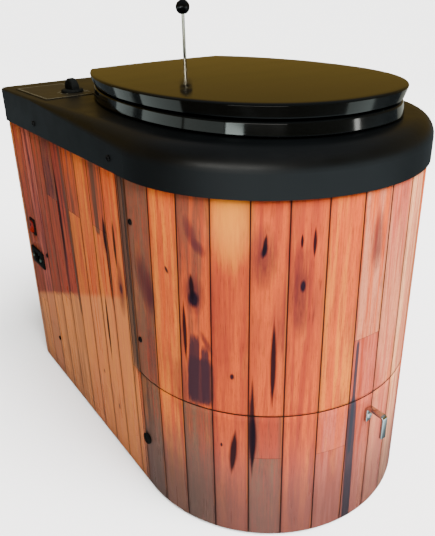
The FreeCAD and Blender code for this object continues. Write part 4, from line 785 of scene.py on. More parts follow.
@dataclass(frozen=True)
class PlankPrint(Finish):
    """Glossy laminate printed with wooden boards.

    The boards' tones and seeds come from the mesh's own attributes. The grain is noise, long in height and
    short in arc length, and each mark is a closed form in the same two lengths, which are in metres.
    """

    shine: float = 0.02
    spread: Pair = (-0.04, 0.1)
    seed_scale: float = 40.0
    ragged_scale: Triple = (420.0, 60.0, 0.0)
    joint_half: float = 0.0014
    joint_strength: float = 0.95
    joint_tone: Colour = (0.008, 0.003, 0.003, 1.0)
    joint_shade: Pair = (0.006, 0.35)
    butt_strength: float = 0.6
    edge_light: float = 0.003
    edge_strength: float = 0.45
    # Slanted edge, share and tone of the painted patch of light low on the left flank.
    painted_light_slope: float = 0.407
    painted_light_height: float = 0.44
    painted_light_edge: float = 0.006
    painted_light_share: float = 0.5
    painted_light_tone: Colour = (0.33, 0.137, 0.046, 1.0)
    flank_start: Pair = (-0.32, -0.345)
    # Where the painted shade on the rear of the left flank grows, and the tint that darkens it.
    painted_shade_reach: Pair = (-0.38, -0.54)
    painted_shade_tint: Colour = (0.8, 0.87, 0.93, 1.0)
    # Heights, share and tone of the painted shade at the foot of the front.
    foot_shade_heights: Pair = (0.2, 0.03)
    foot_shade_share: float = 0.6
    foot_shade_tone: Colour = (0.1, 0.056, 0.05, 1.0)

    def dress(self, shade: Shade) -> None:
        """Boards, grain, painted light and shade on the flank and the foot, marks and joints in the colour.

        Args:
            shade: the material's tree.
        """
        across, height = self.lengths(shade, "print")
        seed = shade.add("ShaderNodeAttribute", attribute_name="seed").outputs["Fac"]
        point = shade.add("ShaderNodeCombineXYZ")
        for socket, value in zip(point.inputs, (across, height, seed)):
            shade.feed(socket, value)
        place = point.outputs[0]
        noises = {grain: self.noise(shade, place, grain) for grain in Grain}
        colour = self.wood(shade, noises)
        colour = self.paint_light_and_shade(shade, colour, across, height)
        ragged = shade.math("SUBTRACT", shade.noise(shade.stretched(place, self.ragged_scale), 1.0), 0.5)
        colour = self.marked(shade, colour, (across, height, ragged))
        colour = self.jointed(shade, colour, noises[Grain.BROAD])
        shade.set(Base_Color=colour, Specular_IOR_Level=self.shine)
        self.vary(shade, noises[Grain.MEDIUM], (0.3, 0.7), self.spread)

    def lengths(self, shade: Shade, name: str) -> tuple[Socket, Socket]:
        """The two lengths that one of the mesh's UV maps holds."""
        values = shade.split(shade.add("ShaderNodeUVMap", uv_map=name).outputs[0])
        return values[0], values[1]

    def noise(self, shade: Shade, place: Socket, grain: Grain) -> Socket:
        """One grain's noise, with its own cut for each board's seed."""
        across, along, detail, roughness = grain.value
        return shade.noise(shade.stretched(place, (across, along, self.seed_scale)), 1.0, detail, roughness)

    def wood(self, shade: Shade, noises: dict[Grain, Socket]) -> Socket:
        """Each board's tone and streaks, with the washes over them.

        Args:
            shade: the material's tree.
            noises: the value of every grain.

        Returns:
            The wood's colour.
        """
        tone = shade.add("ShaderNodeAttribute", attribute_name="tone").outputs["Color"]
        streak = shade.add("ShaderNodeAttribute", attribute_name="streak").outputs["Color"]
        colour = shade.mix(shade.rise(noises[Grain.MEDIUM], 0.4, 0.62), tone, streak)
        for wash in WASHES:
            share = shade.rise(noises[wash.grain], wash.start, wash.stop, 0.0, wash.share)
            colour = shade.mix(share, colour, wash.tone.value)
        return colour

    def paint_light_and_shade(self, shade: Shade, colour: Socket, across: Socket, height: Socket) -> Socket:
        """Paints light and shade: a darker painted shade on the left flank above a slanted line, a yellower
        painted patch of light below it, and a greyer painted shade at the foot of the front.

        Args:
            shade: the material's tree.
            colour: the wood's colour so far.
            across, height: place on the print in metres.

        Returns:
            The colour mixed by a step of height less a slope times arc length, then by a fade with height.
        """
        # Painted light below the slanted line, and painted shade above it towards the rear of the flank.
        line = shade.math("SUBTRACT", height, shade.math("MULTIPLY", across, self.painted_light_slope))
        below = shade.rise(line, self.painted_light_height + self.painted_light_edge, self.painted_light_height - self.painted_light_edge)
        above = shade.math("SUBTRACT", 1.0, below)
        far = shade.math("MULTIPLY", above, shade.rise(across, *self.painted_shade_reach))
        colour = shade.mix(far, colour, self.painted_shade_tint, "MULTIPLY")
        flank = shade.math("MULTIPLY", below, shade.rise(across, *self.flank_start))
        colour = shade.mix(shade.math("MULTIPLY", flank, self.painted_light_share), colour, self.painted_light_tone)
        front = shade.rise(across, *reversed(self.flank_start))
        # Painted shade that greys the foot of the front.
        foot = shade.math("MULTIPLY", shade.rise(height, *self.foot_shade_heights, 0.0, self.foot_shade_share), front)
        return shade.mix(foot, colour, self.foot_shade_tone)

    def marked(self, shade: Shade, colour: Socket, place: tuple[Socket, Socket, Socket]) -> Socket:
        """Lays every mark over the wood.

        Args:
            shade: the material's tree.
            colour: the wood's colour so far.
            place: arc length, height and the noise that makes edges ragged.

        Returns:
            The colour with the marks.
        """
        group = MarkForm().group()
        for mark in marks():
            ink = mark.kind.value
            sizes = np.array([mark.across, mark.height, mark.half_width, mark.half_length]) * MM
            form = (mark.lean, ink.side, ink.end, ink.softness, ink.ragged)
            node = shade.add("ShaderNodeGroup", node_tree=group)
            for socket, value in zip(node.inputs, (*place, *sizes, *form)):
                shade.feed(socket, value)
            colour = shade.mix(shade.math("MULTIPLY", node.outputs[0], ink.strength), colour, ink.colour)
        return colour

    def jointed(self, shade: Shade, colour: Socket, broad: Socket) -> Socket:
        """Draws the joints from each place's distance to its board's sides and ends.

        Args:
            shade: the material's tree.
            colour: the wood's colour so far.
            broad: slow noise that says which sides catch a light edge.

        Returns:
            The colour with light edges, a soft shade along the sides, and dark joints.
        """
        left, right = self.lengths(shade, "across")
        low, high = self.lengths(shade, "along")
        side = shade.math("MINIMUM", left, right)
        end = shade.math("MINIMUM", low, high)
        light = shade.rise(right, self.edge_light, self.joint_half)
        light = shade.math("MULTIPLY", light, self.edge_strength)
        light = shade.math("MULTIPLY", light, shade.rise(broad, 0.42, 0.6))
        colour = shade.mix(light, colour, Tone.GOLD.value)
        reach, share = self.joint_shade
        colour = shade.mix(shade.rise(side, reach, 0.0, 0.0, share), colour, Tone.UMBER.value)
        gap = shade.math("MAXIMUM", shade.rise(side, self.joint_half, self.joint_half / 3),
                         shade.rise(end, self.joint_half / 2, 0.0, 0.0, self.butt_strength))
        return shade.mix(shade.math("MULTIPLY", gap, self.joint_strength), colour, self.joint_tone)


class Look:
    """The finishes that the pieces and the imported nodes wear."""

    PRINT = PlankPrint("plank_print", (0.5, 0.2, 0.05, 1.0), 0.3)
    BACKING = SatinMoulding("panel_backing", (0.117, 0.0887, 0.0685, 1.0), 0.6, 500.0)
    GLOSS = GlossMoulding("gloss_black", (0.001, 0.0012, 0.0012, 1.0), 0.06)
    LID = GlossMoulding("gloss_lid", (0.001, 0.0012, 0.0012, 1.0), 0.06, 0.06, 0.5)
    COVER = SatinMoulding("cover_satin", (0.0008, 0.001, 0.0011, 1.0), 0.38, 1400.0, 0.15)
    CONTROL = SatinMoulding("control_satin", (0.0028, 0.003, 0.0028, 1.0), 0.4, 1400.0, 0.012)
    ROCKER = GlossMoulding("rocker_red", (0.12, 0.006, 0.003, 1.0), 0.3, 0.02)
    PLATE = SatinMoulding("plate_foil", (0.005, 0.0042, 0.0026, 1.0), 0.4, 1400.0, 0.1)
    RUBBER = MattFibre("rubber", (0.022, 0.022, 0.023, 1.0), 0.75, 900.0)
    STAINLESS = BrushedMetal("stainless", (0.6, 0.61, 0.6, 1.0), 0.26)
    ROD = BrushedMetal("bright_rod", (0.34, 0.31, 0.24, 1.0), 0.14)
    ZINC = SpangledZinc("zinc_sheet", (0.58, 0.6, 0.61, 1.0), 0.42)
    HEAT = BrushedMetal("heat_steel", (0.32, 0.26, 0.2, 1.0), 0.4, (40.0, 40.0, 400.0))
    SCREW = SatinMoulding("black_oxide", (0.003, 0.003, 0.003, 1.0), 0.34, 1400.0, 0.03)
    PIN = BrushedMetal("plated_pin", (0.1, 0.13, 0.11, 1.0), 0.35)
    MARK = SatinMoulding("mark_pale", (0.055, 0.05, 0.034, 1.0), 0.45)
    PULL = BrushedMetal("pull_steel", (0.46, 0.51, 0.5, 1.0), 0.12)
    # Dark finish that paints the shade in the seams onto the zinc front posts; the panels' edges wear it
    # too.
    SEAM_SHADE_PAINT = SatinMoulding("seam_shade_paint", (0.008, 0.006, 0.005, 1.0), 0.5, 1400.0, 0.1)
    FIBRE = MattFibre("ceramic_fibre", (0.75, 0.73, 0.68, 1.0), 0.95, 160.0)
    FLOOR = PaleFloor("floor_pale", (0.9, 0.9, 0.9, 1.0), 0.9)


@dataclass(frozen=True)
class UPath:
    """The casing's plan line: a half round front, straight flanks, round rear corners and a flat back.

    A place on it is the arc length from the middle of the front, to the right positive.
    """

    radius: float
    rear: float
    corner: float

    def stages(self) -> Triple:
        """Works out where the line's stages end.

        Returns:
            Arc lengths at the ends of the round front, the flank and the rear corner.
        """
        front = math.pi * self.radius / 2
        flank = front + self.rear - self.corner
        return front, flank, flank + math.pi * self.corner / 2

    def point(self, arc: Array) -> tuple[Array, Array]:
        """Place on the line: sine and cosine of the front, a straight, the corner's circle, a straight.

        Args:
            arc: arc lengths from the middle of the front.

        Returns:
            The x and the y of each place.
        """
        front, flank, turn = self.stages()
        s = np.abs(arc)
        bend = (s - flank) / self.corner
        inner = self.radius - self.corner
        picks = [s <= front, s <= flank, s <= turn]
        x = np.select(picks, [self.radius * np.sin(s / self.radius), self.radius + 0 * s,
                              inner + self.corner * np.cos(bend)], inner - (s - turn))
        y = np.select(picks, [-self.radius * np.cos(s / self.radius), s - front,
                              self.rear - self.corner + self.corner * np.sin(bend)], self.rear)
        return x * np.sign(arc + (arc == 0)), y


def grid_quads(rows: int, columns: int, close_rows: bool = False, close_columns: bool = False) -> Array:
    """Quads of a grid of points that is numbered row by row.

    Args:
        rows, columns: size of the grid.
        close_rows: joins the last row to the first.
        close_columns: joins the last column to the first.

    Returns:
        An array of four point numbers for each quad, which turn from columns to rows.
    """
    r, c = np.meshgrid(np.arange(rows if close_rows else rows - 1),
                       np.arange(columns if close_columns else columns - 1), indexing="ij")
    r2 = (r + 1) % rows
    c2 = (c + 1) % columns
    corners = [r * columns + c, r * columns + c2, r2 * columns + c2, r2 * columns + c]
    return np.stack(corners, -1).reshape(-1, 4)


def lathe(profile: Sequence[Pair], count: int = 48) -> Array:
    """Surface turned about the upright axis: radius times cosine and sine of the turn, at each height.

    Args:
        profile: radius and height of each station, from the lower pole to the upper one.
        count: places round the axis.

    Returns:
        A grid with a row for each station, to be closed round its columns.
    """
    radius, height = np.array(profile, float).T
    turn = np.linspace(0.0, 2 * np.pi, count, endpoint=False)
    shape = (len(radius), count)
    return np.stack([np.outer(radius, np.cos(turn)), np.outer(radius, np.sin(turn)),
                     np.broadcast_to(height[:, None], shape)], -1)


def aimed(points: Array, origin: Sequence[float], along: Sequence[float]) -> Array:
    """Moves upright points so that their up axis points along a direction from an origin.

    Args:
        points: points with three numbers each.
        origin: where their own origin goes.
        along: the new up axis.

    Returns:
        The points as a sum of the origin and three square axes, each times its own number.
    """
    up = np.array(along, float)
    side = np.cross(UP, up)
    if not side.any():
        side = np.array([1.0, 0.0, 0.0])
    side /= np.linalg.norm(side)
    third = np.cross(up, side)
    return np.array(origin, float) + points @ np.stack([side, third, up])


def rounded_rectangle(half_a: float, half_b: float, radius: float, steps: int = 6) -> Array:
    """Closed outline of a rectangle with round corners: four quarter circles set in from its corners.

    Args:
        half_a, half_b: half sizes on the two axes.
        radius: corner radius.
        steps: points on each corner.

    Returns:
        Points in order round the outline.
    """
    turn = np.linspace(0.0, np.pi / 2, steps)
    corner = np.arange(4)[:, None] * np.pi / 2 + turn
    sign_a = np.array([1, -1, -1, 1])[:, None]
    sign_b = np.array([1, 1, -1, -1])[:, None]
    a = sign_a * (half_a - radius) + radius * np.cos(corner)
    b = sign_b * (half_b - radius) + radius * np.sin(corner)
    return np.stack([a.ravel(), b.ravel()], -1)


def rounded_path(corners: Sequence[Pair], radius: float, steps: int = 8) -> Array:
    """Flat path through corner points, with a circle's arc at each inner corner.

    Args:
        corners: the corner points.
        radius: radius of the arcs.
        steps: points on each arc.

    Returns:
        The path's points, from the first corner to the last.
    """
    turn = np.linspace(0.0, np.pi / 2, steps)[:, None]
    parts = [np.array(corners[:1], float)]
    for before, corner, after in zip(corners, corners[1:], corners[2:]):
        start = np.subtract(before, corner) / np.linalg.norm(np.subtract(before, corner))
        leave = np.subtract(after, corner) / np.linalg.norm(np.subtract(after, corner))
        middle = np.array(corner) + radius * (start + leave)
        parts.append(middle - radius * (leave * np.cos(turn) + start * np.sin(turn)))
    parts.append(np.array(corners[-1:], float))
    return np.concatenate(parts)


def flank_rings(rows: Sequence[Ring], flank: float, y: float, z: float) -> Array:
    """Rounded rectangles stacked outwards from the left flank.

    Args:
        rows: half length, half height, corner radius and distance outwards of each outline.
        flank: distance of the flank from the middle.
        y, z: centre of the outlines.

    Returns:
        A grid with a row for each outline.
    """
    flats = [rounded_rectangle(a, b, min(radius, a, b)) for a, b, radius, _ in rows]
    return np.stack([np.column_stack([np.full(len(f), -flank - row[3]), y - f[:, 0], z + f[:, 1]])
                     for f, row in zip(flats, rows)])


@dataclass(frozen=True)
class Screw:
    """Domed screw with a cross recess, whose head stands on height 0 with the shank below it."""

    radius: float = 4.0
    height: float = 2.2
    shank: float = 2.0
    length: float = 8.0
    count: int = 48
    under_share: float = 0.96
    side_shares: Pair = (0.15, 0.4)
    dome_share: float = 0.45
    cross_half: float = 0.16
    cross_reach: float = 0.62
    cross_floor: float = 0.42

    def surface(self) -> Array:
        """Lathe with a circle's arc as its dome, which is lowered where a cross of two bars lies.

        Returns:
            A grid to be closed round its columns.
        """
        radius, height, shank, length = self.radius, self.height, self.shank, self.length
        low, rise = self.dome_share, 1 - self.dome_share
        out = np.linspace(1.0, 0.0, 12)[1:]
        dome = [(radius * r, height * (low + rise * math.sqrt(1 - r * r))) for r in out]
        stations = [(0.0, -length), (shank / 2, -length), (shank, shank - length), (shank, 0.0),
                    (radius * self.under_share, 0.0),
                    *[(radius, height * share) for share in self.side_shares], *dome]
        points = lathe(stations, self.count)
        across = np.minimum(np.abs(points[..., 0]), np.abs(points[..., 1]))
        reach = np.hypot(points[..., 0], points[..., 1])
        top = points[..., 2] > height * self.dome_share
        cross = top & (across < radius * self.cross_half) & (reach < radius * self.cross_reach)
        points[..., 2] = np.where(cross, height * self.cross_floor, points[..., 2])
        return points


@dataclass
class Piece:
    """A visual piece in the making: its meshes in millimetres, its body and the nodes it stands for."""

    name: str
    body: Body
    slot: Slot
    finish: Finish
    stands_for: tuple[str, ...] = ()
    points: list[Array] = field(default_factory=list)
    quads: list[Array] = field(default_factory=list)

    def grid(self, points: Array, close_rows: bool = False, close_columns: bool = False) -> "Piece":
        """Adds a grid of points.

        Args:
            points: rows of points with three numbers each.
            close_rows: joins the last row to the first.
            close_columns: joins the last column to the first.

        Returns:
            The piece itself.
        """
        rows, columns = points.shape[:2]
        offset = sum(len(p) for p in self.points)
        self.points.append(points.reshape(-1, 3))
        self.quads.append(grid_quads(rows, columns, close_rows, close_columns) + offset)
        return self

    def turned(self, surface: Array, place: Sequence[float], along: Sequence[float] = UP) -> "Piece":
        """Adds a turned surface with its axis along a direction from a place."""
        return self.grid(aimed(surface, place, along), close_columns=True)

    def build(self, sharp: float = 35.0, merge: bool = True) -> bpy.types.Object:
        """Makes the object, closes its seams and poles, turns its faces out and puts it on its body.

        Args:
            sharp: angle in degrees past which an edge stays sharp.
            merge: whether points in one place become one.

        Returns:
            The finished object.
        """
        mesh = bpy.data.meshes.new(self.name)
        points = np.concatenate(self.points) * MM
        mesh.from_pydata(points.tolist(), [], np.concatenate(self.quads).tolist())
        if merge:
            work = bmesh.new()
            work.from_mesh(mesh)
            bmesh.ops.remove_doubles(work, verts=work.verts, dist=WELD)
            bmesh.ops.dissolve_degenerate(work, edges=work.edges, dist=SLIVER)
            bmesh.ops.recalc_face_normals(work, faces=work.faces)
            work.to_mesh(mesh)
            work.free()
        mesh.polygons.foreach_set("use_smooth", np.ones(len(mesh.polygons), bool))
        mesh.set_sharp_from_angle(angle=math.radians(sharp))
        made = bpy.data.objects.new(self.name, mesh)
        bpy.context.scene.collection.objects.link(made)
        mesh.materials.append(self.finish.material())
        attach(made, self.body.value)
        if self.stands_for:
            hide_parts(*self.stands_for)
        LOG.info("%s: %d faces", self.name, len(mesh.polygons))
        return made


@dataclass
class Casing:
    """Printed casing: two flanks, the upper front and the drawer's front."""

    path: UPath = UPath(200.0, 437.0, 12.0)
    wall: float = 3.0
    lift: float = 4.0
    top: float = 491.0
    drawer_seam: float = 197.0
    drawer_gap: float = 1.6
    seam: float = 16.0
    seam_gap: float = 1.5
    rear_return: float = 20.0
    step: float = 5.0
    fan: float = 0.00011
    fan_centre: float = -70.0
    lean_limits: Pair = (-0.012, 0.018)
    upright_border: float = 60.0
    seed_step: float = 0.37
    switch_hole: Bounds = (374.2, 393.8, 274.4, 299.6)
    inlet_hole: Bounds = (355.7, 404.3, 216.2, 241.8)

    def build(self) -> None:
        """Builds the four printed panels."""
        front, _, turn = self.path.stages()
        end = turn + self.rear_return
        reach = front + self.seam
        flank = reach + self.seam_gap
        holes = [(-front - h[1], -front - h[0], h[2], h[3]) for h in (self.switch_hole, self.inlet_hole)]
        full, high = (self.lift, self.top), (self.drawer_seam, self.top)
        low = (self.lift, self.drawer_seam - self.drawer_gap)
        self.panel("left_flank", "left_panel", Body.CASING, (-end, -flank), full, holes)
        self.panel("right_flank", "right_panel", Body.CASING, (flank, end), full, [])
        self.panel("upper_front", "front_panel", Body.CASING, (-reach, reach), high, [])
        self.panel("lower_front", "drawer_front", Body.DRAWER, (-reach, reach), low, [])

    def panel(self, name: str, node: str, body: Body, span: Pair, rise: Pair,
              holes: Sequence[Bounds]) -> None:
        """Makes one panel: the plan line carried up on a grid of arc lengths and heights.

        Args:
            name: the piece's name.
            node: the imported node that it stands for.
            body: the body that it rides on.
            span: lowest and highest arc length.
            rise: lowest and highest height.
            holes: cut-outs as two arc lengths and two heights.
        """
        boards = cells()
        joints = [edge for cell in boards for edge in (cell.left, cell.right)]
        ends = [cell.high for cell in boards]
        count = int(math.ceil((span[1] - span[0]) / self.step))
        arcs = np.concatenate([np.linspace(*span, count + 1), joints, *[h[:2] for h in holes]])
        arcs = np.unique(np.round(arcs[(arcs >= span[0]) & (arcs <= span[1])], 4))
        heights = np.concatenate([rise, ends, *[h[2:] for h in holes]])
        heights = np.unique(heights[(heights >= rise[0]) & (heights <= rise[1])])
        arc, height = np.meshgrid(arcs, heights)
        quads = self.faces(arc, height, holes)
        piece = Piece(name, body, Slot.PANEL, Look.PRINT, (node,))
        piece.points.append(self.leaned(arc, height))
        piece.quads.append(quads)
        made = piece.build(sharp=30.0, merge=False)
        self.print_on(made.data, boards, arc.ravel()[quads], height.ravel()[quads])
        self.thicken(made)

    def faces(self, arc: Array, height: Array, holes: Sequence[Bounds]) -> Array:
        """Quads of a panel's grid, less those whose middle lies in a cut-out.

        Args:
            arc, height: the grid.
            holes: cut-outs as two arc lengths and two heights.

        Returns:
            Four point numbers for each quad.
        """
        quads = grid_quads(*arc.shape)
        middle_arc = arc.ravel()[quads].mean(1)
        middle_height = height.ravel()[quads].mean(1)
        keep = np.ones(len(quads), bool)
        for left, right, low, high in holes:
            inside = (middle_arc > left) & (middle_arc < right)
            keep &= ~(inside & (middle_height > low) & (middle_height < high))
        return quads[keep]

    def leaned(self, arc: Array, height: Array) -> Array:
        """Places of a panel's points: arc length plus a lean times the height over the drawer's seam.

        The lean grows with the distance from the fan's centre, and ends at the border of the front.

        Args:
            arc, height: the grid.

        Returns:
            The points row by row.
        """
        lean = np.clip((self.fan_centre - arc) * self.fan, *self.lean_limits)
        reach = self.path.stages()[0] + self.seam
        fade = np.clip((reach - np.abs(arc)) / self.upright_border, 0.0, 1.0)
        x, y = self.path.point(arc + lean * fade * np.maximum(height - self.drawer_seam, 0.0))
        return np.stack([x, y, height], -1).reshape(-1, 3)

    def print_on(self, mesh: bpy.types.Mesh, boards: Sequence[Cell], arc: Array, height: Array) -> None:
        """Puts the boards' values on the corners of a panel's faces.

        They are the place on the print, distances to the board's sides and ends, two tones and a seed.

        Args:
            mesh: the panel's mesh.
            boards: the boards.
            arc, height: places of each face's four corners.
        """
        box = np.array([(cell.left, cell.right, cell.low, cell.high) for cell in boards])
        middle_arc, middle_height = arc.mean(1)[:, None], height.mean(1)[:, None]
        on_board = ((middle_arc > box[:, 0]) & (middle_arc < box[:, 1])
                    & (middle_height > box[:, 2]) & (middle_height < box[:, 3]))
        board = np.repeat(on_board.argmax(1), 4)
        left, right, low, high = box[board].T
        arc, height = arc.ravel(), height.ravel()
        pairs = {
            "print": (arc, height),
            "across": (arc - left, right - arc),
            "along": (height - low, high - height),
        }
        for label, pair in pairs.items():
            layer = mesh.uv_layers.new(name=label)
            layer.uv.foreach_set("vector", (np.stack(pair, -1) * MM).astype(np.float32).ravel())
        for label in ("tone", "streak"):
            colours = np.array([getattr(cell, label).value for cell in boards], np.float32)[board]
            mesh.attributes.new(label, "FLOAT_COLOR", "CORNER").data.foreach_set("color", colours.ravel())
        seeds = (board * self.seed_step).astype(np.float32)
        mesh.attributes.new("seed", "FLOAT", "CORNER").data.foreach_set("value", seeds)

    def thicken(self, made: bpy.types.Object) -> None:
        """Gives a panel its wall, with a plain back and dark edges in the finish that paints the seams'
        shade.

        Args:
            made: the panel.
        """
        for finish in (Look.BACKING, Look.SEAM_SHADE_PAINT):
            made.data.materials.append(finish.material())
        shell = made.modifiers.new("wall", "SOLIDIFY")
        shell.thickness = self.wall * MM
        shell.offset = -1.0
        shell.material_offset = 1
        shell.material_offset_rim = 2


@dataclass
class CasingScrews:
    """Dark screws of the panels, the top cover and the rear panel."""

    short: Screw = Screw()
    long: Screw = Screw(length=11.4)
    flank: float = 200.0
    cover: float = 203.4
    rear: float = 437.0
    side_places: Places = ((1.0, 252.0), (1.0, 413.0), (330.0, 85.0), (330.0, 250.0))
    cover_places: Places = ((37.0, 482.0), (288.0, 482.0))
    rear_places: Places = ((178.0, 40.0), (178.0, 150.0), (178.0, 260.0))

    def build(self) -> None:
        """Builds every screw as one piece."""
        piece = Piece("casing_screw_heads", Body.CASING, Slot.SCREW, Look.SCREW, ("casing_screws",))
        short, long = self.short.surface(), self.long.surface()
        for side in (-1.0, 1.0):
            for y, z in self.side_places:
                piece.turned(short, (side * self.flank, y, z), (side, 0.0, 0.0))
            for y, z in self.cover_places:
                piece.turned(long, (side * self.cover, y, z), (side, 0.0, 0.0))
            for x, z in self.rear_places:
                piece.turned(short, (side * x, self.rear, z), (0.0, 1.0, 0.0))
        piece.build(sharp=40.0)


# Rows of a straight side between its rounded edges, close to the ends so that the side shades flat.
WALL_STEPS = (0.0, 0.05, 0.95)


@dataclass
class SeatAndLid:
    """Gloss seat ring and lid with one outline."""

    half_width: float = 163.0
    widest: float = 60.0
    front_reach: float = 233.0
    front_power: float = 2.3
    rear_reach: float = 285.0
    corner: float = 265.0
    bulge: float = 7.0
    lid_low: float = 538.0
    lid_top: float = 554.0
    undercut: float = 4.0
    lid_round: float = 2.5
    lid_ease: float = 1.2
    lid_bevel: float = 0.35
    lid_shares: Pair = (0.6, 0.97)
    seat_low: float = 519.5
    seat_top: float = 535.0
    seat_inset: float = 3.0
    seat_draft: float = 1.8
    seat_round: float = 2.5
    seat_ease: float = 1.5
    seat_bevel: float = 0.45
    hole_ease: float = 1.0
    hole: Pair = (105.0, 130.0)
    hole_centre: float = 25.0

    def outline(self, inset: float) -> Array:
        """Outline in plan: a front of powered cosine and sine, and an oval rear that an arc cuts off.

        Args:
            inset: how far every reach is drawn in.

        Returns:
            Points in order round the outline.
        """
        half, front, rear = self.half_width - inset, self.front_reach - inset, self.rear_reach - inset
        corner = self.corner - inset
        turn = np.linspace(0.0, np.pi, 121)
        share = 2 / self.front_power
        fore = np.stack([np.sign(np.cos(turn)) * half * np.abs(np.cos(turn)) ** share,
                         self.widest - front * np.abs(np.sin(turn)) ** share], -1)
        cut = math.asin((corner - self.widest) / rear)
        side = np.linspace(0.0, cut, 41)[1:]
        left = np.stack([-half * np.cos(side), self.widest + rear * np.sin(side)], -1)
        reach = half * math.cos(cut)
        across = np.linspace(-reach, reach, 31)[1:]
        back = np.stack([across, corner + self.bulge * (1 - (across / reach) ** 2)], -1)
        right = np.stack([half * np.cos(side[::-1]), self.widest + rear * np.sin(side[::-1])], -1)[1:]
        return np.concatenate([fore, left, back, right])

    def rings(self, stations: Sequence[Triple]) -> Array:
        """Grid of outlines: each station scales the outline about its widest line, insets it and lifts it.

        Args:
            stations: scale, inset and height of each row.

        Returns:
            The rows' points.
        """
        centre = np.array([0.0, self.widest])
        flat = np.stack([centre + scale * (self.outline(inset) - centre) for scale, inset, _ in stations])
        height = np.array([s[2] for s in stations])[:, None, None]
        return np.concatenate([flat, np.broadcast_to(height, (*flat.shape[:2], 1))], -1)

    def build(self) -> None:
        """Builds the lid and the seat."""
        self.lid()
        self.seat()

    def lid(self) -> None:
        """Lid: rows from the middle below, out, up the drawn-in side, round the edge and back in."""
        r, ease, bevel = self.lid_round, self.lid_ease, self.lid_bevel
        low, top, cut = self.lid_low, self.lid_top, self.undercut
        near, far = self.lid_shares
        wall = top - r - low - ease
        turn = np.linspace(0.0, np.pi / 2, 7)
        stations = [*[(share, cut + ease, low) for share in (0.0, near, 1.0)],
                    (1.0, cut + bevel, low + bevel),
                    *[(1.0, cut * (1 - t), low + ease + t * wall) for t in WALL_STEPS],
                    *[(1.0, r - r * math.cos(a), top - r + r * math.sin(a)) for a in turn],
                    *[(share, r, top) for share in (far, near, 0.0)]]
        piece = Piece("lid_board", Body.LID, Slot.SEAT, Look.LID, ("lid",))
        piece.grid(self.rings(stations), close_columns=True).build(sharp=35.0)

    def seat(self) -> None:
        """Seat: rows round a closed section between the drafted outer outline and an oval hole."""
        r, ease, bevel, lip = self.seat_round, self.seat_ease, self.seat_bevel, self.hole_ease
        wide = self.outline(self.seat_inset - self.seat_draft / 2)
        outer = self.outline(self.seat_inset + self.seat_draft / 2)
        centre = np.array([0.0, self.hole_centre])
        away = outer - centre
        bearing = np.arctan2(away[:, 1] / self.hole[1], away[:, 0] / self.hole[0])
        inner = centre + np.stack([self.hole[0] * np.cos(bearing), self.hole[1] * np.sin(bearing)], -1)
        inward = (inner - outer) / np.linalg.norm(inner - outer, axis=1)[:, None]
        turn = np.linspace(0.0, np.pi / 2, 7)
        low, top = self.seat_low, self.seat_top
        rows = [(wide + inward * ease, low), (wide + inward * bevel, low + bevel)]
        rows += [(wide + t * (outer - wide), low + ease + t * (top - r - low - ease)) for t in WALL_STEPS]
        rows += [(outer + inward * (r - r * math.cos(a)), top - r + r * math.sin(a)) for a in turn]
        rows += [(inner - inward * (r - r * math.sin(a)), top - r + r * math.cos(a)) for a in turn]
        rows += [(inner, low + lip), (inner - inward * lip, low)]
        points = np.stack([np.column_stack([flat, np.full(len(flat), z)]) for flat, z in rows])
        piece = Piece("seat_ring", Body.SEAT, Slot.SEAT, Look.GLOSS, ("seat",))
        piece.grid(points, close_rows=True, close_columns=True).build(sharp=35.0)


@dataclass
class Lever:
    """Pull lever: ball knob with a nub, and bright rod."""

    x: float = 139.14
    y: float = 402.0
    rod_radius: float = 3.0
    rod_ease: float = 0.6
    ball_radius: float = 13.0
    ball_height: float = 627.0
    ball_flat: float = 1.2
    pole_cuts: Pair = (0.45, 0.24)
    nub_radius: float = 2.5
    nub_sink: float = 0.3

    def build(self) -> None:
        """Builds the ball and the rod."""
        self.ball()
        self.stem()

    def ball(self) -> None:
        """Ball: a circle's arc turned about the rod, flat below and with a small nub on top."""
        r, mid, nub = self.ball_radius, self.ball_height, self.nub_radius
        flat, tip = mid - r + self.ball_flat, mid + r - self.nub_sink
        lower, upper = self.pole_cuts
        turn = np.linspace(-np.pi / 2 + lower, np.pi / 2 - upper, 30)
        profile = [(0.0, flat), (self.rod_radius + 1.0, flat),
                   *[(r * math.cos(a), mid + r * math.sin(a)) for a in turn],
                   (nub + 0.2, tip), (nub, tip + nub * 0.4), (nub * 0.8, tip + nub * 0.8), (0.0, tip + nub)]
        piece = Piece("lever_ball_knob", Body.LEVER, Slot.SEAT, Look.GLOSS, ("lever_ball",))
        piece.turned(lathe(profile), (self.x, self.y, 0.0)).build(sharp=50.0)

    def stem(self) -> None:
        """Rod: a lathe with eased ends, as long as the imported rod."""
        low, high = (v.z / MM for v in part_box("lever_rod"))
        r, ease = self.rod_radius, self.rod_ease
        profile = [(0.0, low), (r - ease, low), (r, low + ease), (r, self.ball_height - self.ball_radius),
                   (r, high - ease), (r - ease, high), (0.0, high)]
        piece = Piece("lever_stem", Body.LEVER, Slot.ROD, Look.ROD, ("lever_rod",))
        piece.turned(lathe(profile, 32), (self.x, self.y, 0.0)).build(sharp=40.0)


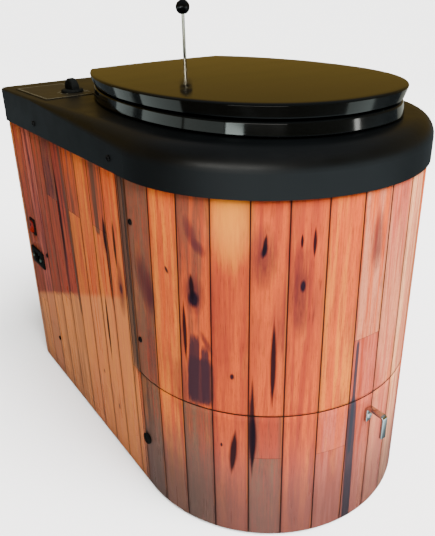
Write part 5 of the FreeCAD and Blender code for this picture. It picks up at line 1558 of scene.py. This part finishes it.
@dataclass
class Controls:
    """Control plate on the deck with its border, ticks and pointer knob."""

    deck: float = 518.0
    plate_x: Pair = (-190.0, -110.0)
    plate_y: Pair = (259.0, 395.0)
    plate_wall: float = 1.0
    plate_corner: float = 3.0
    least_corner: float = 0.4
    plate_eases: Pair = (0.2, 0.3)
    hole_radius: float = 5.0
    border_inset: float = 2.6
    border_width: float = 0.9
    mark_sink: float = 0.02
    mark_rise: float = 0.12
    knob: Pair = (-132.0, 300.0)
    skirt_radius: float = 17.0
    skirt_height: float = 4.0
    knob_height: float = 20.0
    bar_width: float = 13.0
    bar_length: float = 30.0
    arch: float = 16.0
    knob_gap: float = 0.3
    grip_lift: float = 1.0
    end_power: float = 8.0
    grip_power: float = 0.4
    end_share: float = 0.35
    tick_radius: Pair = (19.0, 22.5)
    tick_width: float = 0.9
    tick_count: int = 10
    first_tick: float = -45.0
    sweep: float = 270.0

    def build(self) -> None:
        """Builds the plate, its marks and the knob."""
        self.plate()
        self.marks()
        self.pointer()

    def flat_ring(self, inset: float, height: float) -> Array:
        """One rounded outline of the plate.

        Args:
            inset: how far it is drawn in.
            height: where it lies.

        Returns:
            Points in order round the outline.
        """
        half_a = (self.plate_x[1] - self.plate_x[0]) / 2 - inset
        half_b = (self.plate_y[1] - self.plate_y[0]) / 2 - inset
        flat = rounded_rectangle(half_a, half_b, max(self.plate_corner - inset, self.least_corner))
        flat = flat + (sum(self.plate_x) / 2, sum(self.plate_y) / 2)
        return np.column_stack([flat, np.full(len(flat), height)])

    def plate(self) -> None:
        """Plate with a broken edge, and a hole under the knob: rows of outlines, then a circle."""
        low, top = self.deck, self.deck + self.plate_wall
        under, over = self.plate_eases
        sections = ((under, low), (0.0, low + under), (0.0, top - over), (over, top))
        rows = [self.flat_ring(*section) for section in sections]
        edge = rows[-1][:, :2] - self.knob
        bearing = np.arctan2(edge[:, 1], edge[:, 0])
        hole = np.stack([np.cos(bearing), np.sin(bearing)], -1) * self.hole_radius + self.knob
        rows += [np.column_stack([hole, np.full(len(hole), height)]) for height in (top, low)]
        piece = Piece("control_foil", Body.CASING, Slot.PLATE, Look.PLATE, ("control_plate",))
        piece.grid(np.stack(rows), close_rows=True, close_columns=True).build(sharp=30.0)

    def marks(self) -> None:
        """Border and ticks as thin raised strips: a ring between two outlines, and boxes round the knob."""
        face = self.deck + self.plate_wall
        low, top = face - self.mark_sink, face + self.mark_rise
        near, far = self.border_inset, self.border_inset + self.border_width
        sections = ((near, low), (near, top), (far, top), (far, low))
        rows = [self.flat_ring(*section) for section in sections]
        piece = Piece("control_marks", Body.CASING, Slot.PLATE, Look.MARK)
        piece.grid(np.stack(rows), close_rows=True, close_columns=True)
        inner, outer = self.tick_radius
        half = self.tick_width / 2
        section = np.array([[-half, low], [-half, top], [half, top], [half, low]])
        ends = np.array([inner, inner, outer, outer])
        scale = np.array([0.0, 1.0, 1.0, 0.0])
        for angle in np.radians(self.first_tick + np.linspace(0.0, self.sweep, self.tick_count)):
            out = np.array([math.cos(angle), math.sin(angle)])
            side = np.array([-out[1], out[0]])
            flat = (np.array(self.knob) + ends[:, None, None] * out
                    + scale[:, None, None] * section[None, :, :1] * side)
            height = low + scale[:, None] * (section[None, :, 1] - low)
            piece.grid(np.concatenate([flat, height[..., None]], -1), close_columns=True)
        piece.build(sharp=30.0)

    def pointer(self) -> None:
        """Knob: a turned skirt, and a grip with a powered arch as its section, under a circle's arc."""
        low = self.deck + self.plate_wall + self.knob_gap
        r, top = self.skirt_radius, low + self.skirt_height
        skirt = [(0.0, low), (r - 0.3, low), (r, low + 0.4), (r - 0.4, top - 1.2), (r - 1.4, top - 0.2),
                 (r - 2.4, top), (0.0, top)]
        piece = Piece("pointer_knob", Body.TIMER, Slot.CONTROL, Look.CONTROL, ("timer_knob",))
        piece.turned(lathe(skirt, 64), (*self.knob, 0.0))
        along = np.sin(np.linspace(-np.pi / 2, np.pi / 2, 41))[:, None]
        turn = np.linspace(0.0, np.pi, 33)[None, :]
        half, lift = self.bar_length / 2, self.grip_lift
        close = (1 - np.abs(along) ** self.end_power) ** (1 / self.end_power)
        share = self.end_share + (1 - self.end_share) * close
        rise = self.knob_height - self.arch + np.sqrt(self.arch ** 2 - (half * along) ** 2)
        side = np.sign(np.cos(turn)) * np.abs(np.cos(turn)) ** self.grip_power
        x = self.bar_width / 2 * close * side
        z = low + lift + (rise - lift) * share * np.abs(np.sin(turn)) ** self.grip_power
        y = half * along + 0 * turn
        points = np.stack([x + self.knob[0], y + self.knob[1], z], -1)
        piece.grid(points, close_columns=True).build(sharp=40.0)


@dataclass(frozen=True)
class FlankFrame:
    """Moulded frame set into the left flank: a body behind the panel, a bezel before it and a pocket."""

    bezel: Pair
    proud: float
    body: Pair
    depth: float
    corner: float
    edge: float
    bevel: float
    pocket_corner: float
    pocket_edge: float
    soft: float = 0.2
    seam: float = 0.3
    body_corner: float = 1.0
    face_corner: float = 0.6

    def rows(self, pocket: Pair, floor: float) -> list[Ring]:
        """Outlines from the back of the body, out round the bezel and down into the pocket.

        Args:
            pocket: half sizes of the pocket.
            floor: where the pocket ends.

        Returns:
            Half length, half height, corner radius and distance outwards of each outline.
        """
        a, b = self.bezel[0] / 2, self.bezel[1] / 2
        body = (self.body[0] / 2, self.body[1] / 2, self.body_corner)
        face, edge, bevel, soft, lip = self.proud, self.edge, self.bevel, self.soft, self.pocket_edge
        corner = self.corner
        return [
            (0.0, 0.0, 0.0, -self.depth),
            (*body, -self.depth),
            (*body, 0.0),
            (a - soft, b - soft, corner - soft, 0.0),
            (a, b, corner, self.seam),
            (a, b, corner, face - edge),
            (a - bevel, b - bevel, corner - soft, face - bevel),
            (a - edge, b - edge, corner - self.face_corner, face),
            (pocket[0] + lip, pocket[1] + lip, self.pocket_corner + soft, face),
            (*pocket, self.pocket_corner, face - lip),
            (*pocket, self.pocket_corner, floor),
            (0.0, 0.0, 0.0, floor),
        ]


@dataclass
class PowerSwitch:
    """Switch on the left flank: black frame and dished red rocker."""

    y: float = 384.0
    z: float = 287.0
    flank: float = 200.0
    housing: FlankFrame = FlankFrame(bezel=(23.0, 29.0), proud=2.5, body=(19.0, 24.6), depth=26.0,
                                     corner=1.6, edge=1.2, bevel=0.35, pocket_corner=0.5, pocket_edge=0.4)
    rocker: Pair = (14.0, 18.5)
    rocker_proud: float = 5.5
    dish: float = 3.0
    dish_power: float = 1.4
    end_ease: float = 0.5
    side_ease: float = 0.6
    side_share: float = 0.93
    root: float = 6.0
    gap: float = 0.3
    tilt: float = 10.0

    def build(self) -> None:
        """Builds the frame and the rocker."""
        reach = math.hypot(self.rocker[1] / 2, self.root) + self.gap
        rows = self.housing.rows((self.rocker[0] / 2 + self.gap, reach), -reach)
        piece = Piece("switch_bezel", Body.CASING, Slot.CONTROL, Look.CONTROL, ("switch_frame",))
        piece.grid(flank_rings(rows, self.flank, self.y, self.z), close_columns=True).build(sharp=35.0)
        self.paddle()

    def paddle(self) -> None:
        """Rocker: a section with a face bowed in by a power of its height, carried across and turned."""
        width, half = self.rocker[0] / 2, self.rocker[1] / 2
        up = np.linspace(-half, half, 25)
        bow = self.dish * (1 - np.abs(up / half) ** self.dish_power)
        face = np.column_stack([self.rocker_proud - bow, up])
        face[[0, -1], 0] -= self.end_ease
        back = np.array([[-self.root, half], [-self.root, -half]])
        section = np.concatenate([face, back])
        share, ease = self.side_share, self.side_ease
        stations = [(0.0, -width), (share, -width), (1.0, ease - width), (1.0, 0.0), (1.0, width - ease),
                    (share, width), (0.0, width)]
        scale, across = np.array(stations).T[:, :, None]
        x, z = -scale * section[:, 0], scale * section[:, 1]
        cosine, sine = math.cos(math.radians(self.tilt)), math.sin(math.radians(self.tilt))
        points = np.stack([x * cosine + z * sine - self.flank, self.y + across + 0 * x,
                           z * cosine - x * sine + self.z], -1)
        piece = Piece("switch_paddle", Body.ROCKER, Slot.ROCKER, Look.ROCKER, ("switch_rocker",))
        piece.grid(points, close_columns=True).build(sharp=40.0)


@dataclass
class MainsInlet:
    """Mains inlet on the left flank with its socket and two fixing screws."""

    y: float = 380.0
    z: float = 229.0
    flank: float = 200.0
    housing: FlankFrame = FlankFrame(bezel=(58.0, 30.0), proud=3.0, body=(48.0, 25.0), depth=28.0,
                                     corner=2.2, edge=1.4, bevel=0.4, pocket_corner=1.4, pocket_edge=0.6)
    recess: Pair = (25.0, 17.0)
    recess_depth: float = 18.0
    screw_reach: float = 17.0
    screw: Screw = Screw(3.2, 2.6, 1.5, 6.0)

    def build(self) -> None:
        """Builds the bezel with its recess, and the fixing screws."""
        face = self.housing.proud
        rows = self.housing.rows((self.recess[0] / 2, self.recess[1] / 2), face - self.recess_depth)
        piece = Piece("inlet_socket", Body.CASING, Slot.CONTROL, Look.CONTROL, ("mains_inlet",))
        piece.grid(flank_rings(rows, self.flank, self.y, self.z), close_columns=True).build(sharp=35.0)
        screws = Piece("inlet_screws", Body.CASING, Slot.STAINLESS, Look.PIN)
        for y in (self.y - self.screw_reach, self.y + self.screw_reach):
            screws.turned(self.screw.surface(), (-self.flank - face, y, self.z), (-1.0, 0.0, 0.0))
        screws.build(sharp=40.0)


@dataclass
class DrawerFittings:
    """Bent pull with its screw, and the two thumbscrews."""

    pull_x: float = 4.0
    pull_width: float = 8.0
    pull_wall: float = 4.0
    pull_reach: float = 28.5
    pull_top: float = 180.0
    pull_drop: float = 33.0
    pull_tab: float = 22.0
    pull_round: float = 0.7
    pull_end: float = 0.5
    end_share: float = 0.88
    bend: float = 3.0
    screw: Screw = Screw()
    face: float = -200.0
    flank: float = 200.0
    thumb_y: float = 2.5
    thumb_z: float = 90.0
    thumb_radius: float = 8.0
    thumb_height: float = 4.5
    stud: float = 3.0
    stud_length: float = 12.0
    knurls: int = 40
    knurl_depth: float = 0.3

    def build(self) -> None:
        """Builds the pull, its screw and the thumbscrews."""
        self.pull()
        seat_z = self.pull_top - self.pull_wall - (self.pull_tab - self.pull_wall) / 2
        place = (self.pull_x, self.face - self.pull_wall, seat_z)
        node = "drawer_pull_screw"
        piece = Piece("pull_screw_head", Body.DRAWER, Slot.STAINLESS, Look.STAINLESS, (node,))
        piece.turned(self.screw.surface(), place, (0.0, -1.0, 0.0)).build(sharp=40.0)
        self.thumbscrew("right_thumb_knob", Body.RIGHT_THUMB, 1.0)
        self.thumbscrew("left_thumb_knob", Body.LEFT_THUMB, -1.0)

    def pull(self) -> None:
        """Pull: a rounded bar section carried along a path with two bends, closed at both ends."""
        half = self.pull_wall / 2
        wall, leg = self.face - half, self.face - self.pull_reach + half
        top = self.pull_top - half
        path = rounded_path([(wall, self.pull_top - self.pull_tab), (wall, top), (leg, top),
                             (leg, self.pull_top - self.pull_drop)], self.bend)
        run = np.gradient(path, axis=0)
        run /= np.linalg.norm(run, axis=1)[:, None]
        normal = np.column_stack([-run[:, 1], run[:, 0]])
        section = rounded_rectangle(self.pull_width / 2, half, self.pull_round, 4)
        first, last = path[:1], path[-1:]
        path = np.concatenate([first, first, first + run[:1] * self.pull_end, path[1:-1],
                               last - run[-1:] * self.pull_end, last, last])
        normal = np.concatenate([normal[:1], normal[:1], normal, normal[-1:], normal[-1:]])
        scale = np.ones(len(path))
        scale[[0, -1]] = 0.0
        scale[[1, -2]] = self.end_share
        x = self.pull_x + scale[:, None] * section[None, :, 0]
        yz = path[:, None, :] + scale[:, None, None] * section[None, :, 1:] * normal[:, None, :]
        points = np.concatenate([x[..., None], yz], -1)
        piece = Piece("bent_pull", Body.DRAWER, Slot.STAINLESS, Look.PULL, ("drawer_pull",))
        piece.grid(points, close_columns=True).build(sharp=40.0)

    def thumbscrew(self, name: str, body: Body, side: float) -> None:
        """Thumbscrew: a lathe whose rim swells and sinks with a cosine of the turn.

        Args:
            name: the piece's name.
            body: the body that it rides on.
            side: 1 on the right flank and -1 on the left one.
        """
        r, h, stud, end = self.thumb_radius, self.thumb_height, self.stud, -self.stud_length
        stations = [(0.0, end), (stud - 0.5, end), (stud, end + 0.6), (stud, 0.0), (r - 0.8, 0.0), (r, 0.7),
                    (r, h - 0.8), (r - 0.7, h), (r - 2.4, h), (r - 2.8, h - 0.4), (0.0, h - 0.4)]
        points = lathe(stations, self.knurls * 4)
        rim = np.array([radius == r for radius, _ in stations])[:, None]
        turn = np.linspace(0.0, 2 * np.pi, self.knurls * 4, endpoint=False)
        swell = 1 + rim * self.knurl_depth / r * (np.cos(self.knurls * turn) - 1)
        points[..., :2] *= swell[..., None]
        node = "right_thumbscrew" if side > 0 else "left_thumbscrew"
        piece = Piece(name, body, Slot.CONTROL, Look.CONTROL, (node,))
        place = (side * self.flank, self.thumb_y, self.thumb_z)
        piece.turned(points, place, (side, 0.0, 0.0)).build(sharp=30.0)


class Rays(Enum):
    """What a lamp is for: matt surfaces, the gloss of all pieces, or the gloss of the pieces named."""

    MATT = "matt"
    GLOSS = "gloss"
    BLACK = ("seat_ring", "lid_board", "lever_ball_knob")
    SEAT = ("seat_ring", "lever_ball_knob")
    LID = ("lid_board",)


@dataclass(frozen=True)
class Lamp:
    """One soft panel: place and size in metres, power in watts and linear colour."""

    name: str
    rays: Rays
    place: Triple
    size: Pair
    power: float
    colour: Triple


# Two shades of light that several lamps have.
GREEN = (0.86, 1.0, 0.95)
WHITE = (1.0, 1.0, 0.95)
LAMPS = (
    Lamp("right", Rays.MATT, (2.6, -0.7, 0.9), (1.3, 1.3), 80.0, (1.0, 0.97, 0.93)),
    Lamp("fill", Rays.MATT, (-3.0, 2.6, 2.2), (3.0, 3.0), 34.0, (0.95, 0.97, 1.0)),
    Lamp("brow", Rays.GLOSS, (-2.3, -1.4, 1.1), (2.4, 0.4), 66.0, WHITE),
    Lamp("rear_pane", Rays.BLACK, (-1.2, 2.33, 0.4), (0.5, 0.75), 3.3, GREEN),
    Lamp("flank_pane", Rays.BLACK, (-2.0, 1.6, 0.42), (1.2, 0.75), 17.0, GREEN),
    Lamp("left_pane", Rays.SEAT, (-2.58, -0.55, 0.5), (0.62, 0.5), 65.0, GREEN),
    Lamp("near_pane", Rays.SEAT, (1.49, -2.16, 0.43), (0.22, 0.75), 30.0, WHITE),
    Lamp("right_pane", Rays.BLACK, (2.3, 0.4, 0.3), (1.3, 0.7), 2.6, (1.0, 1.0, 0.8)),
    Lamp("lid_pane", Rays.LID, (1.5, -2.15, 0.43), (1.1, 0.75), 24.0, GREEN),
    Lamp("mid_pane", Rays.SEAT, (-2.55, 0.45, 0.45), (1.3, 0.75), 20.0, GREEN),
)


@dataclass
class Studio:
    """Floor, lights and camera."""

    azimuth: float = -33.7485
    elevation: float = 24.2851
    roll: float = -1.885
    eye: Triple = (-0.4798, -0.5735, 0.6596)
    focal_pixels: float = 583.67
    centre_pixels: Pair = (205.57, 250.04)
    image: tuple[int, int] = (435, 536)
    clip_start: float = 0.01
    target: Triple = (0.0, 0.0, 0.5)
    floor_half: float = 80.0
    sky_power: float = 16.0
    sky_spread: float = 50.0
    sky_tilt: Pair = (38.0, 8.0)
    around: Surroundings = Surroundings()

    def build(self) -> None:
        """Builds the floor, the lights and the camera."""
        self.floor()
        self.camera()
        for lamp in LAMPS:
            self.light(lamp)
        self.sky()
        Room().dress(self.around)

    def floor(self) -> None:
        """Plain pale floor, a flat grid of two by two points."""
        edge = np.array([-self.floor_half, self.floor_half])
        x, y = np.meshgrid(edge, edge)
        points = np.stack([x, y, np.zeros_like(x)], -1).reshape(-1, 3)
        mesh = bpy.data.meshes.new("floor")
        mesh.from_pydata(points.tolist(), [], grid_quads(2, 2).tolist())
        made = bpy.data.objects.new("floor", mesh)
        bpy.context.scene.collection.objects.link(made)
        mesh.materials.append(Look.FLOOR.material())
        made.visible_glossy = False

    def sky(self) -> None:
        """Wide even light from above, which lights the floor out to its edge."""
        data = bpy.data.lights.new("sky", "SUN")
        data.energy = self.sky_power
        data.angle = math.radians(self.sky_spread)
        made = bpy.data.objects.new("sky", data)
        made.rotation_euler = (*(math.radians(a) for a in self.sky_tilt), 0.0)
        made.visible_glossy = False
        bpy.context.scene.collection.objects.link(made)

    def light(self, lamp: Lamp) -> None:
        """Adds one lamp that looks at the object.

        Args:
            lamp: its place, size and light, and what it is for.
        """
        data = bpy.data.lights.new(lamp.name, "AREA")
        data.shape = "RECTANGLE"
        data.size, data.size_y = lamp.size
        data.energy = lamp.power
        data.color = lamp.colour
        made = bpy.data.objects.new(lamp.name, data)
        made.location = lamp.place
        aim = Vector(self.target) - Vector(lamp.place)
        made.rotation_euler = aim.to_track_quat("-Z", "Y").to_euler()
        made.visible_camera = False
        made.visible_diffuse = lamp.rays is Rays.MATT
        made.visible_glossy = lamp.rays is not Rays.MATT
        if isinstance(lamp.rays.value, tuple):
            made.light_linking.receiver_collection = self.receivers(lamp.rays)
        bpy.context.scene.collection.objects.link(made)

    def receivers(self, rays: Rays) -> bpy.types.Collection:
        """The pieces that a lamp is for as one group, made on first use.

        Args:
            rays: what the lamp is for.

        Returns:
            The group.
        """
        group = bpy.data.collections.get(rays.name)
        if group is None:
            group = bpy.data.collections.new(rays.name)
            for name in rays.value:
                group.objects.link(bpy.data.objects[name])
        return group

    def camera(self) -> None:
        """Camera at the photograph's place, with its turn, lens and shift."""
        azimuth, elevation, roll = (math.radians(a) for a in (self.azimuth, self.elevation, self.roll))
        back = np.array([math.sin(azimuth) * math.cos(elevation), -math.cos(azimuth) * math.cos(elevation),
                         math.sin(elevation)])
        right = np.cross(-back, UP)
        right /= np.linalg.norm(right)
        up = np.cross(right, -back)
        turned_right = math.cos(roll) * right + math.sin(roll) * up
        turned_up = -math.sin(roll) * right + math.cos(roll) * up
        pose = np.eye(4)
        pose[:3, :4] = np.stack([turned_right, turned_up, back, np.array(self.eye)], 1)
        width, height = self.image
        data = bpy.data.cameras.new("camera")
        data.lens = self.focal_pixels * data.sensor_width / max(width, height)
        data.shift_x = (width / 2 - self.centre_pixels[0]) / max(width, height)
        data.shift_y = (self.centre_pixels[1] - height / 2) / max(width, height)
        data.clip_start = self.clip_start
        made = bpy.data.objects.new("camera", data)
        made.matrix_world = Matrix(pose.tolist())
        bpy.context.scene.collection.objects.link(made)
        bpy.context.scene.camera = made


def dress_nodes() -> None:
    """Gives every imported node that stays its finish."""
    looks: dict[Finish, tuple[str, ...]] = {
        Look.COVER: ("top_cover",),
        Look.CONTROL: ("timer_body", "hinge_posts", "lever_bush", "control_box"),
        Look.RUBBER: ("lid_bumpers", "seat_bumpers", "bowl_gasket"),
        Look.STAINLESS: ("bowl", "flue_pipe", "trap_flap", "trap_shaft",
                         "hinge_pins", "lid_hinge_leaves", "seat_hinge_leaves", "hinge_bolts", "ash_pan",
                         "timer_spindle"),
        # The zinc front posts wear a dark finish that paints the seams' shade.
        Look.SEAM_SHADE_PAINT: ("front_posts",),
        Look.ZINC: ("rear_panel", "base_pan", "rear_posts", "chamber_shelf", "shelf_brackets",
                    "drawer_tray", "drawer_runners", "blower_housing", "blower_impeller", "blower_motor",
                    "blower_stand", "lever_yoke", "trap_crank", "trap_weight", "trap_bearings"),
        Look.HEAT: ("chamber_liner", "chamber_casing", "chamber_plate", "heater_element",
                    "temperature_probe", "exhaust_duct"),
        Look.PIN: ("inlet_pins",),
        Look.FIBRE: ("chamber_insulation",),
    }
    for finish, names in looks.items():
        material = finish.material()
        for name in names:
            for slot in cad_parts[name].material_slots:
                slot.material = material
        LOG.info("%s on %d nodes", finish.name, len(names))


def main() -> None:
    """Builds and dresses everything in order."""
    logging.basicConfig(level=logging.INFO, format="%(name)s: %(message)s")
    dress_nodes()
    Casing().build()
    CasingScrews().build()
    SeatAndLid().build()
    Lever().build()
    Controls().build()
    PowerSwitch().build()
    MainsInlet().build()
    DrawerFittings().build()
    Studio().build()


if __name__ == "__main__":
    main()
